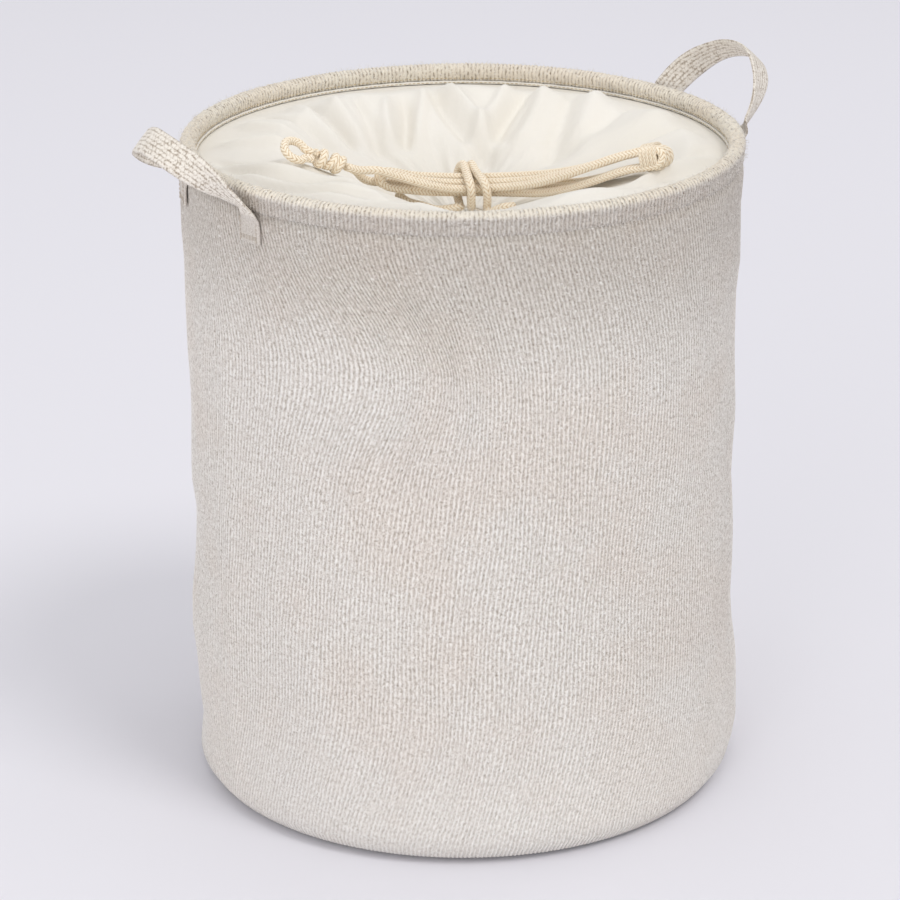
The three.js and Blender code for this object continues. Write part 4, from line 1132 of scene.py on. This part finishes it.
def cover_height(r, azimuth):
    """Height of the cotton cover, in millimetres: sewn level at its edge, puffed up inside the rim, and folded down
    to the gather."""
    crest = crest_radius(azimuth)
    rise = smooth((COVER_SEWN - r) / (COVER_SEWN - crest))
    fall = np.maximum(0, (crest - r) / (crest - COVER_INSIDE)) ** COVER_FALL_ROUNDNESS
    bowl = COVER_EDGE[1] + COVER_PUFF * rise - (COVER_PUFF + COVER_EDGE[1] - RIM_TOP + COVER_DIP) * fall
    reach = np.clip((COVER_SEWN - r) / (COVER_SEWN - COVER_INSIDE), 0, 1)
    folded = np.sin(math.pi * reach) ** 0.6
    waves = np.cos(COVER_WAVES * azimuth + COVER_WAVE_WANDER * np.sin(2 * azimuth))
    height = bowl + COVER_WAVE_DEPTH * folded * waves + cover_folds(r, azimuth, reach)
    return np.where(r >= COVER_SEWN, COVER_EDGE[1], height)


def pleated(azimuth, count, wander, waves, height, finer, start):
    """Pleats that wander round the gather, with finer ones over them."""
    return np.sin(count * azimuth + wander * np.sin(waves * azimuth)) + height * np.sin(finer * azimuth + start)


def cover_folds(r, azimuth, reach):
    """Pleats and creases over the cover's broad shape, in millimetres."""
    x, y = r * np.cos(azimuth), r * np.sin(azimuth)
    folds = 0 * x
    for height, width, x0, y0, x1, y1 in COVER_FOLDS:
        length = math.hypot(x1 - x0, y1 - y0)
        along = ((x - x0) * (x1 - x0) + (y - y0) * (y1 - y0)) / length
        across = ((x - x0) * (y1 - y0) - (y - y0) * (x1 - x0)) / length
        across = across + FOLD_SWAY * np.sin(along / 19 + x0)
        spread = width * (0.75 + 0.5 * along / length)
        span = smooth((along + FOLD_OVERRUN) / FOLD_FADE) * smooth((length + FOLD_OVERRUN - along) / FOLD_FADE)
        folds = folds + FOLD_STRENGTH * height * span * np.exp(-(across / spread) ** 2)
    pleats = pleated(azimuth, *COVER_PLEATS)
    gather = smooth((reach - GATHER_FROM) / 0.4) * smooth((1 - reach) / 0.06)
    return folds * smooth((FOLDS_WITHIN - r) / EDGE_FADE) + GATHER_DEPTH * gather * pleats


def cover_piece(material, columns=420, rows=66):
    """The cotton cover, two faces 0.8 mm apart."""
    azimuth = np.linspace(0, 2 * math.pi, columns, endpoint=False)[None, :]
    share = np.linspace(0, 1, rows) ** 0.92
    r = (COVER_EDGE[0] - (COVER_EDGE[0] - COVER_INSIDE) * share)[:, None] + 0 * azimuth
    z = cover_height(r, azimuth)
    r = np.vstack([r, r[::-1]])
    z = np.vstack([z, z[::-1] - COTTON_THICKNESS])
    points = round_points(r, azimuth, z) * MM
    laid = points[..., :2].reshape(-1, 2)
    faces = grid_faces(len(r), columns, closed_rows=True)
    return make_piece("cotton_cover", turned_by(points, VIEW_TURN), faces, material, laid)


# --- Handles ---


def strap_loop(angle, out, square, skew, bow, pointed):
    """A point of a strap's loop, from its middle fold line: 0 and pi are the two ends."""
    c, s = math.cos(angle), math.sin(angle)
    round_c, round_s = math.copysign(abs(c) ** pointed, c), abs(s) ** pointed
    rear = max(c if bow > 0 else -c, 0) * round_s
    along = np.array((0, STRAP_SPAN * round_c + skew * round_s, 0))
    return along + STRAP_ARCH * round_s * out + abs(bow) * rear * square


def strap_line(lean, skew, bow, turned, pointed, steps=150):
    """Middle line of one webbing strap and its wide direction, from the rear tab over the loop to the front tab,
    with the handle on +X."""
    out = np.array([math.sin(lean), 0, math.cos(lean)])
    square = np.cross((0, 1, 0), out)
    shape = (out, square, skew, bow, pointed)
    loop, wides = [], []
    for a in np.linspace(0, math.pi, steps):
        point = strap_loop(a, *shape)
        along = unit(strap_loop(min(a + 0.03, math.pi), *shape) - strap_loop(max(a - 0.03, 0), *shape))
        widening = unit(np.cross(along, square))
        leg = float(smooth(point.dot(out) / STRAP_LEG))
        flat = float(smooth(min(a, math.pi - a) / STRAP_TWIST_END))
        twist = turned * leg + (math.pi / 2 - turned) * flat
        wides.append(widening * math.cos(twist) - square * math.sin(twist))
        loop.append(np.array((HINGE_REACH, 0, HINGE_HEIGHT)) + point)
    tab = TAB_REACH * np.array([math.cos(TAB_TURN), math.sin(TAB_TURN)])
    sewn = np.array([[tab[0] + lift, tab[1], z] for z, lift in SEWN_LIFTS])
    level = np.array([math.sin(TAB_TURN), math.cos(TAB_TURN), 0])
    shares = smooth((sewn[:, 2] - SEWN_TURN_FROM) / SEWN_TURN_OVER)[:, None]
    ends = []
    for side, nearest in ((level * (-1, 1, 1), wides[0]), (level, wides[-1])):
        side = side if side.dot(nearest) > 0 else -side
        ends.append(side * (1 - shares) + nearest * shares)
    line = np.vstack([sewn, loop, sewn[::-1] * (1, -1, 1)])
    return line, unit(np.vstack([ends[0], wides, ends[1][::-1]]))


def strap_piece(name, lean, turn, skew, bow, turned, pointed, material, step=1.2, yarns=13):
    """One strap of webbing with rounded edges, its ends sewn flat to the wall."""
    line, wide = strap_line(lean, skew, bow, turned, pointed)
    route, _ = smooth_route(line, step)
    reach, along_route = stations_of(line), stations_of(route)
    along_route *= reach[-1] / along_route[-1]
    wide = np.stack([np.interp(along_route, reach, wide[:, k]) for k in range(3)], axis=1)
    along = unit(np.gradient(route, axis=0))
    wide = unit(wide - along * np.einsum("ij,ij->i", wide, along)[:, None])
    thick = np.cross(along, wide)
    half, edge = STRAP_WIDTH / 2, STRAP_THICKNESS / 2
    across = np.concatenate([np.linspace(-1, 1, yarns), np.linspace(1, -1, yarns)])
    rim = np.sqrt(np.clip(1 - np.clip((abs(across) * half - (half - edge)) / edge, 0, 1) ** 2, 0.06, 1))
    level = np.repeat([1.0, -1.0], yarns) * rim
    cup = STRAP_CUP * (1 - across ** 2)
    points = route[:, None, :] + wide[:, None, :] * (across * half)[None, :, None]
    points = points + thick[:, None, :] * (level * edge - cup + STRAP_SEAT)[None, :, None]
    count = len(across)
    laid = np.stack([np.broadcast_to(across * half * MM, (len(route), count)),
                     np.broadcast_to((along_route[:, None] - reach[-1] / 2) * MM, (len(route), count))], axis=-1)
    return make_piece(name, turned_by(points, turn) * MM, tube_faces(len(route), count), material,
                      laid.reshape(-1, 2))


def tack_paths(turn):
    """Stitch lines over both sewn ends of the strap at a turn: bars across and a line up each side."""
    bars = [[(x, z) for x in np.linspace(-TACK_HALF_WIDTH, TACK_HALF_WIDTH, 8)] for z in TACK_HEIGHTS]
    sides = [[(x, z) for z in np.linspace(SIDE_STITCH_FROM, SIDE_STITCH_TO, 8)]
             for x in (-SIDE_STITCH_OFFSET, SIDE_STITCH_OFFSET)]
    paths = []
    for middle in (turn - TAB_TURN, turn + TAB_TURN):
        radial = np.array((math.cos(middle), math.sin(middle), 0))
        level = np.array((-math.sin(middle), math.cos(middle), 0))
        for line in bars + sides:
            paths.append(([(radial * TACK_REACH + level * x + np.array(UP) * z) * MM for x, z in line], False))
    return paths


# --- Properties ---


def colour_property(name, description, hex_colour):
    return bpy.props.FloatVectorProperty(name=name, description=description, subtype="COLOR", size=4, min=0, max=1,
                                         default=shade_of(hex_colour))


def length_property(name, description, default):
    return bpy.props.FloatProperty(name=name, description=description, subtype="DISTANCE", unit="LENGTH",
                                   default=default, min=0, precision=5)


class HamperColours(bpy.types.PropertyGroup):
    """Colours of the hamper's cloths, cord and fittings"""

    knit_crest: colour_property("Knit crest", "Top of the knit's ribs and slubs", "f5f2ed")
    knit_side: colour_property("Knit side", "Flanks of the knit's ribs", "ddd7d0")
    knit_valley: colour_property("Knit valley", "Shaded yarn between the ribs", "b3aaa0")
    knit_gap: colour_property("Knit gap", "Deepest shade between the knit's yarns", "958b7c")
    # Warms the rim's top and inner face, over the painted highlight that the knit finish puts there
    knit_rim: colour_property("Knit rim", "Warmer tone of the brushed rim", "f4eee0")
    knit_tint: colour_property("Knit tint", "Warmer patches of the knit", "fbf4ef")
    # Painted shade that darkens the wall's knit towards the rim
    knit_dusk: colour_property("Knit dusk", "Where the knit is drawn tight below the rim", "e2dfdc")
    cotton: colour_property("Cotton", "The cover and lining", "ebe7df")
    cotton_shade: colour_property("Cotton shade", "Cloudy tone of the cotton", "e6e1d6")
    webbing: colour_property("Webbing", "Raised yarns of the handles", "ece6dc")
    webbing_shade: colour_property("Webbing side", "Flanks of the webbing's yarns", "d9d0c4")
    # Painted shade between the webbing's rows, also the darker tone of the pale thread
    webbing_gap: colour_property("Webbing gap", "Gaps between the webbing's rows", "a89b8b")
    rope: colour_property("Cord", "Raised plaits of the cord", "fbf0dc")
    rope_shade: colour_property("Cord side", "Flanks of the plaits", "f2e0c4")
    # Painted shade between the plaits
    rope_gap: colour_property("Cord gap", "Gaps between the plaits", "c4a275")
    thread: colour_property("Thread", "Sewing thread", "d3c19c")
    thread_shade: colour_property("Thread shade", "Shaded side of the thread", "a8946c")
    plastic: colour_property("Plastic", "Spring caps", "e8e8e4")
    board: colour_property("Board", "Stiffening board", "b79a72")
    board_dark: colour_property("Board fibres", "Dark fibres of the board", "8c7350")
    floor: colour_property("Floor", "Studio floor", "e4e3e9")
    floor_far: colour_property("Floor tone", "Cloudy tone of the floor", "e0dfe6")

    def all(self):
        return {name: tuple(getattr(self, name)) for name in self.__annotations__}


class HamperSizes(bpy.types.PropertyGroup):
    """Sizes that only change the look, not the solids"""

    rib_depth: length_property("Rib depth", "How far the knit's ribs stand up", 0.4 * MM)
    cord_step: length_property("Cord step", "Distance between the cord's rings of faces", 0.6 * MM)
    stitch_length: length_property("Stitch length", "Length of one stitch", 2.3 * MM)
    stitch_spacing: length_property("Stitch spacing", "From one stitch to the next", 3.2 * MM)
    stitch_thread: length_property("Stitch thread", "Thickness of the sewing thread", 0.55 * MM)
    fuzz_length: length_property("Fuzz length", "Length of a loose fibre on the rim", 2.0 * MM)
    fuzz_fibre: length_property("Fuzz fibre", "Half the thickness of a loose fibre", 0.08 * MM)
    fuzz_density: bpy.props.FloatProperty(name="Fuzz density", description="Loose fibres in a square metre of the rim",
                                          default=90000, min=0)
    knit_rows: bpy.props.IntProperty(name="Knit rows", description="Rows of faces up the wall", default=44, min=8,
                                     max=60)


def finish_of(name):
    return bpy.data.materials[name]


def dress(piece, slot, body, *nodes):
    """Hide the solids that a piece stands for and hang it on the body that carries it. The slot of its finish is not
    used.
    """
    if nodes:
        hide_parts(*nodes)
    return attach(piece, body)


def fold(piece):
    """Give a piece its own copy of its mesh."""
    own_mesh(piece)


# --- Operators ---


class HAMPER_OT_finishes(bpy.types.Operator):
    """Make the materials and the geometry trees"""

    bl_idname = "hamper.finishes"
    bl_label = "Finishes"

    def execute(self, context):
        colours = context.scene.hamper_colours.all()
        for make in (knit_finish, cotton_finish, cover_finish, webbing_finish, rope_finish, fuzz_finish,
                     plastic_finish, board_finish):
            make(colours)
        thread_finish("hamper_thread", colours["thread"], colours["thread_shade"])
        thread_finish("hamper_pale_thread", colours["webbing_shade"], colours["webbing_gap"])
        metal_finish("hamper_spring_steel", (0.52, 0.53, 0.54, 1), (40, 40, 900), 0.28)
        metal_finish("hamper_tinplate", (0.62, 0.63, 0.64, 1), (300, 300, 300), 0.32)
        for make in (ribbed_knit_tree, stitches_tree, fuzz_tree):
            make()
        return {"FINISHED"}


class HAMPER_OT_camera(bpy.types.Operator):
    """Place the camera where the photograph was taken"""

    bl_idname = "hamper.camera"
    bl_label = "Camera"

    def execute(self, context):
        data = bpy.data.cameras.new("photo_camera")
        data.sensor_width = SENSOR_WIDTH
        data.lens = SENSOR_WIDTH * FOCAL_LENGTH / PHOTO_WIDTH
        data.clip_end = VIEW_LIMIT
        camera = linked("photo_camera", data)
        camera.matrix_world = (Matrix.Rotation(VIEW_TURN, 4, "Z") @ Matrix.Translation(CAMERA_PLACE * MM)
                               @ Matrix.Rotation(math.pi / 2 - CAMERA_PITCH, 4, "X")
                               @ Matrix.Rotation(CAMERA_ROLL, 4, "Z"))
        context.scene.camera = camera
        context.scene.view_settings.view_transform = "Standard"
        return {"FINISHED"}


class HAMPER_OT_drawstring(bpy.types.Operator):
    """Make the drawstring: its hank, tie, knot, end loop and the run inside the hem"""

    bl_idname = "hamper.drawstring"
    bl_label = "Drawstring"

    def execute(self, context):
        rope = finish_of("hamper_rope")
        step = context.scene.hamper_sizes.cord_step
        knot = self.knot(rope)
        whipping = self.whipping(rope)
        for name, node, points, far_end, lay, pieces in (
            ("braided_hank", "drawstring_hank", DRAWSTRING_HANK, "knot", "coiled", [knot, whipping]),
            ("braided_tie", "drawstring_tie", DRAWSTRING_TIE, "object", "loose", []),
            ("braided_end_loop", "drawstring_end_loop", DRAWSTRING_END_LOOP, "knot", "loose", []),
            ("hem_cord", "drawstring_channel_run", DRAWSTRING_CHANNEL_RUN, "object", "loose", []),
        ):
            piece, path = cord_piece(name, points, rope, CORD_RADIUS, step)
            dress(piece, "rope", "rim", node)
        return {"FINISHED"}

    def knot(self, rope):
        """The knot's turns of cord round the hank's two ends."""
        reach = np.linalg.norm(KNOT_END - KNOT_START)
        axis = unit(KNOT_END - KNOT_START)
        side = unit(np.cross(axis, UP))
        rise = np.cross(side, axis)
        points = []
        for share in np.linspace(0, 1, 64):
            angle = 2 * math.pi * KNOT_TURNS * share + KNOT_START_TURN
            radius = (KNOT_REACH - KNOT_SWELL * math.cos(4 * math.pi * share)) * MM
            bunched = share + KNOT_BUNCHING * math.sin(4 * math.pi * share)
            along = KNOT_INSET + (reach - KNOT_CUT_BACK) * bunched
            points.append(KNOT_START + axis * along + (side * math.cos(angle) + rise * math.sin(angle)) * radius)
        piece, _ = cord_piece("end_knot", points, rope, KNOT_CORD_RADIUS, KNOT_STEP)
        return dress(piece, "rope", "rim", "drawstring_end_knot")

    def whipping(self, rope):
        """A few turns of thinner cord round the necks of the hank's right loops."""
        side = unit(WHIPPING_SIDE - WHIPPING_AXIS * WHIPPING_SIDE.dot(WHIPPING_AXIS))
        rise = np.cross(side, WHIPPING_AXIS)
        points = []
        for share in np.linspace(0, 1, 121):
            angle = 2 * math.pi * WHIPPING_TURNS * share + WHIPPING_START_TURN
            c, s = math.cos(angle), math.sin(angle)
            across = side * WHIPPING_HALF_WIDTH * math.copysign(abs(c) ** WHIPPING_ROUNDNESS, c)
            up = rise * WHIPPING_HALF_HEIGHT * math.copysign(abs(s) ** WHIPPING_ROUNDNESS, s)
            along = WHIPPING_AXIS * (share - 0.5) * WHIPPING_LENGTH
            points.append((WHIPPING_MIDDLE + along + across + up) * MM)
        piece, _ = cord_piece("cord_whipping", points, rope, WHIPPING_CORD_RADIUS)
        return dress(piece, "rope", "rim")


class HAMPER_OT_knit(bpy.types.Operator):
    """Make the knitted wall, the knit round the rim and the bottom"""

    bl_idname = "hamper.knit"
    bl_label = "Knit"

    def execute(self, context):
        knit = finish_of("hamper_knit")
        sizes = context.scene.hamper_sizes
        wall = knit_piece("knit_wall", WALL_LENGTH * MM, sizes.knit_rows, wall_place, KNIT_THICKNESS * MM, knit,
                          sizes.rib_depth)
        dress(wall, "knit", "base", "outer_wall")
        fold(wall)
        rim = knit_piece("knit_rim", RIM_LENGTH * MM, RIM_ROWS, rim_place, KNIT_THICKNESS * MM, knit,
                         sizes.rib_depth * RIM_RIB_GROWTH, lumps=RIM_LUMPS)
        dress(rim, "knit", "rim", "rim_sleeve")
        fuzz = fuzzy("rim_fuzz", rim, sizes.fuzz_density, sizes.fuzz_length, sizes.fuzz_fibre,
                     finish_of("hamper_fuzz"))
        dress(fuzz, "knit", "rim")
        panel = ring_of("knit_bottom", PANEL_OUTLINE, knit)
        dress(panel, "knit", "base", "base_panel")
        return {"FINISHED"}


class HAMPER_OT_cover(bpy.types.Operator):
    """Make the cotton cover and its gathered hem"""

    bl_idname = "hamper.cover"
    bl_label = "Cover"

    def execute(self, context):
        cotton = finish_of("hamper_cotton")
        cover = cover_piece(finish_of("hamper_cover"))
        dress(cover, "cotton", "rim", "closing_cover")
        angles = np.radians(np.linspace(90 + HEM_HALF_SLIT, 450 - HEM_HALF_SLIT, 22))
        outer = arc_points(HEM_MIDDLE, HEM_RADIUS, angles)
        inner = arc_points(HEM_MIDDLE, HEM_RADIUS - HEM_THICKNESS, angles[::-1])

        def gathered(r, z, azimuth):
            across, up = r - HEM_MIDDLE[0], z - HEM_MIDDLE[1]
            grow = 1 + HEM_PLEAT_DEPTH * pleated(azimuth, *HEM_PLEATS) * np.hypot(across, up) / HEM_RADIUS
            return HEM_MIDDLE[0] + across * grow, HEM_MIDDLE[1] + up * grow

        hem = ring_of("gathered_hem", outer + inner, cotton, columns=220, shape=gathered)
        dress(hem, "cotton", "rim", "cover_hem")
        return {"FINISHED"}


class HAMPER_OT_rim_edge(bpy.types.Operator):
    """Bind the rim's inner edge with tape and two lines of stitches"""

    bl_idname = "hamper.rim_edge"
    bl_label = "Rim edge"

    def execute(self, context):
        cotton, thread = finish_of("hamper_cotton"), finish_of("hamper_thread")
        sizes = context.scene.hamper_sizes

        def tugged(r, z, azimuth):
            return r + 0.12 * np.sin(173 * azimuth), z + 0.1 * np.sin(86 * azimuth + 1)

        tape = ring_of("binding_tape", BINDING_OUTLINE, cotton, columns=700, shape=tugged)
        dress(tape, "cotton", "rim", "rim_binding")
        circle = np.linspace(0, 2 * math.pi, 360, endpoint=False)
        paths = [(round_points(r, circle, z) * MM, True) for r, z in RIM_STITCH_LINES]
        lines = stitched("rim_stitches", paths, sizes.stitch_spacing, sizes.stitch_length, sizes.stitch_thread,
                         thread)
        dress(lines, "thread", "rim", "rim_stitching")
        return {"FINISHED"}


class HAMPER_OT_handles(bpy.types.Operator):
    """Make the two webbing handles and the stitches that hold their ends"""

    bl_idname = "hamper.handles"
    bl_label = "Handles"

    def execute(self, context):
        webbing, thread = finish_of("hamper_webbing"), finish_of("hamper_pale_thread")
        for side, turn, lean, turned, skew, bow, pointed in HANDLES:
            turn, lean, turned = math.radians(turn), math.radians(lean), math.radians(turned)
            body = f"{side}_handle"
            strap = strap_piece(f"{side}_strap", lean, turn, skew, bow, turned, pointed, webbing)
            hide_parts(body, f"{body}_front_tab", f"{body}_rear_tab")
            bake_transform(strap)
            tacks = stitched(f"{side}_strap_stitches", tack_paths(turn), TACK_SPACING, TACK_STITCH, TACK_THREAD,
                             thread)
            dress(tacks, "thread", "rim", f"{body}_front_tack", f"{body}_rear_tack")
        return {"FINISHED"}


class HAMPER_OT_inside(bpy.types.Operator):
    """Make the lining, the spring with its casing, the seam tape and the layers of the bottom"""

    bl_idname = "hamper.inside"
    bl_label = "Inside"

    def execute(self, context):
        cotton, steel = finish_of("hamper_cotton"), finish_of("hamper_spring_steel")
        self.lining(cotton)
        self.spring(cotton, steel)
        self.tape(cotton)
        self.bottom(cotton)
        return {"FINISHED"}

    def lining(self, cotton):
        """The lining: turned in at the foot, straight up, a little slack, and pressed in by the wall's dents."""
        quarter = np.radians(np.linspace(-90, 0, 10))
        heights = np.linspace(LINING_FROM, LINING_TO, 24)
        outer = arc_points(LINING_CORNER, LINING_OUTER_BEND, quarter)
        outer += [(LINING_CORNER[0] + LINING_OUTER_BEND, z) for z in heights]
        inner = [(LINING_CORNER[0] + LINING_INNER_BEND, z) for z in heights[::-1]]
        inner += arc_points(LINING_CORNER, LINING_INNER_BEND, quarter[::-1])

        def slack(r, z, azimuth):
            ends = smooth((z - SLACK_FROM) / 60) * smooth((LINING_TO - z) / 40)
            slackness = LINING_SLACK * ends * (1 + np.sin(SLACK_WAVES * azimuth + z / SLACK_SLANT))
            return r - slackness - pressed_in(azimuth, z), z

        lining = ring_of("inner_lining", outer + inner, cotton, columns=200, shape=slack)
        dress(lining, "cotton", "base", "wall_lining")
        fold(lining)

    def spring(self, cotton, steel):
        """The spiral wire, and the casing that is sewn round its inner side."""
        steps, sides = SPRING_TURNS * 90, 8
        turns = np.linspace(0, 2 * math.pi * SPRING_TURNS, steps + 1) + SPRING_START
        height = np.linspace(SPRING_FOOT, SPRING_TOP, steps + 1)
        pressed = pressed_in(turns, height)
        angle = 2 * np.pi * np.arange(sides) / sides
        reach = SPRING_RADIUS - pressed[:, None] + WIRE_RADIUS * np.cos(angle)
        wire = round_points(reach, turns[:, None], height[:, None] + WIRE_RADIUS * np.sin(angle))
        spring = make_piece("spiral_wire", wire * MM, tube_faces(steps + 1, sides), steel)
        dress(spring, "spring_steel", "base", "spiral_spring")
        fold(spring)
        section = np.array(CASING_SECTION)
        points = round_points(section[:, 0] - pressed[:, None], turns[:, None], section[:, 1] + height[:, None])
        casing = make_piece("wire_casing", points * MM, tube_faces(steps + 1, len(section)), cotton)
        dress(casing, "cotton", "base", "spring_casing")
        fold(casing)

    def tape(self, cotton):
        """The tape over the wall's side seam, swaying a little."""
        half_width, half_thickness = SIDE_TAPE_HALF_WIDTH, SIDE_TAPE_HALF_THICKNESS
        low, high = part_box("side_seam_tape")
        middle = np.array((low + high) / 2) / MM
        turn = math.atan2(middle[1], middle[0])
        reach = math.hypot(middle[0], middle[1])
        heights = np.linspace(low.z / MM, high.z / MM, 70)
        across = np.linspace(-half_width, half_width, 9)
        section = [(x, half_thickness) for x in across] + [(x, -half_thickness) for x in across[::-1]]
        points = []
        for z in heights:
            sway, pressed = SIDE_TAPE_SWAY * math.sin(z / 9), float(pressed_in(turn, z))
            points += [(reach + lift - pressed, x + sway, z) for x, lift in section]
        points = turned_by(points, turn) * MM
        tape = make_piece("seam_tape", points, tube_faces(len(heights), len(section)), cotton)
        dress(tape, "cotton", "base", "side_seam_tape")
        fold(tape)

    def bottom(self, cotton):
        """The lining disc on the board, and the tape over the bottom's seam."""
        low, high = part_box("base_lining")
        edge, foot, head = high.x / MM, low.z / MM, low.z / MM + COTTON_THICKNESS
        disc = ring_of("bottom_lining", [
            (DISC_MIDDLE, foot), (80, foot), (edge - 0.5, foot), (edge, (foot + head) / 2), (edge - 0.5, head),
            (80, head), (DISC_MIDDLE, head)], cotton)
        dress(disc, "cotton", "base", "base_lining")
        low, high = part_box("base_seam_binding")
        outer, foot, head = high.x / MM, low.z / MM, low.z / MM + SEAM_TAPE_THICKNESS
        inner = outer - SEAM_TAPE_WIDTH

        def puckered(r, z, azimuth):
            return r + 0.1 * np.sin(150 * azimuth), z

        tape = ring_of("bottom_seam_tape", [
            (inner, foot + 0.1), (inner + 0.3, foot), (outer - 0.3, foot), (outer, foot + 0.1),
            (outer, head - 0.1), (outer - 0.3, head), (inner + 0.3, head), (inner, head - 0.1)],
            cotton, columns=480, shape=puckered)
        dress(tape, "cotton", "base", "base_seam_binding")


class HAMPER_OT_fittings(bpy.types.Operator):
    """Give the hoops, ferrules, caps and board their finishes"""

    bl_idname = "hamper.fittings"
    bl_label = "Fittings"

    def execute(self, context):
        for node, finish in (
            ("top_hoop", "hamper_spring_steel"), ("bottom_hoop", "hamper_spring_steel"),
            ("top_hoop_ferrule", "hamper_tinplate"), ("bottom_hoop_ferrule", "hamper_tinplate"),
            ("spring_lower_cap", "hamper_plastic"), ("spring_upper_cap", "hamper_plastic"),
            ("base_board", "hamper_board"),
        ):
            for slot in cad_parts[node].material_slots:
                slot.material = finish_of(finish)
        return {"FINISHED"}


class HAMPER_OT_stage(bpy.types.Operator):
    """Lay the studio floor and hang the lights"""

    bl_idname = "hamper.stage"
    bl_label = "Stage"

    def execute(self, context):
        colours = context.scene.hamper_colours.all()
        corners = [(x * FLOOR_REACH, y * FLOOR_REACH, -FLOOR_DROP) for x, y in ((-1, -1), (1, -1), (1, 1), (-1, 1))]
        floor = make_piece("studio_floor", corners, [(0, 1, 2, 3)], floor_finish(colours), outward=False)
        world = bpy.data.worlds.new("studio")
        world.use_nodes = True
        sky = world.node_tree.nodes["Background"].inputs
        sky["Color"].default_value = SKY_COLOUR
        sky["Strength"].default_value = SKY_POWER
        context.scene.world = world
        for name, place, size, power in LAMPS:
            light = bpy.data.lights.new(name, "AREA")
            light.shape = "DISK"
            light.size, light.energy = size, power
            self.hang(light, Vector(place))
        key = bpy.data.lights.new("key_light", "SUN")
        key.angle, key.energy, key.color = KEY_SPREAD, KEY_POWER, KEY_COLOUR
        level = math.cos(KEY_RISE)
        self.hang(key, 4 * Vector((math.cos(KEY_TURN) * level, math.sin(KEY_TURN) * level, math.sin(KEY_RISE))))
        return {"FINISHED"}

    def hang(self, light, place):
        """Hang a lamp at a place given as the photograph faces the hamper, aimed at it."""
        lamp = linked(light.name, light)
        lamp.location = Matrix.Rotation(VIEW_TURN, 3, "Z") @ place
        lamp.rotation_euler = (LAMP_AIM - lamp.location).to_track_quat("-Z", "Y").to_euler()
        lamp.visible_camera = False


class HAMPER_PT_panel(bpy.types.Panel):
    """The hamper's pieces, colours and sizes"""

    bl_label = "Laundry hamper"
    bl_idname = "HAMPER_PT_panel"
    bl_space_type = "VIEW_3D"
    bl_region_type = "UI"
    bl_category = "Hamper"

    def draw(self, context):
        for maker in MAKERS:
            self.layout.operator(maker.bl_idname)
        for group in (context.scene.hamper_colours, context.scene.hamper_sizes):
            box = self.layout.box()
            for name in group.__annotations__:
                box.prop(group, name)


MAKERS = (
    HAMPER_OT_finishes, HAMPER_OT_camera, HAMPER_OT_drawstring, HAMPER_OT_knit, HAMPER_OT_cover,
    HAMPER_OT_rim_edge, HAMPER_OT_handles, HAMPER_OT_inside, HAMPER_OT_fittings, HAMPER_OT_stage,
)
CLASSES = (HamperColours, HamperSizes, *MAKERS, HAMPER_PT_panel)


def register():
    for kind in CLASSES:
        bpy.utils.register_class(kind)
    bpy.types.Scene.hamper_colours = bpy.props.PointerProperty(type=HamperColours)
    bpy.types.Scene.hamper_sizes = bpy.props.PointerProperty(type=HamperSizes)


def unregister():
    del bpy.types.Scene.hamper_sizes
    del bpy.types.Scene.hamper_colours
    for kind in reversed(CLASSES):
        bpy.utils.unregister_class(kind)


def main():
    """Make everything."""
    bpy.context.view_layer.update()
    register()
    for maker in MAKERS:
        group, name = maker.bl_idname.split(".")
        getattr(getattr(bpy.ops, group), name)()


if __name__ == "__main__":
    main()
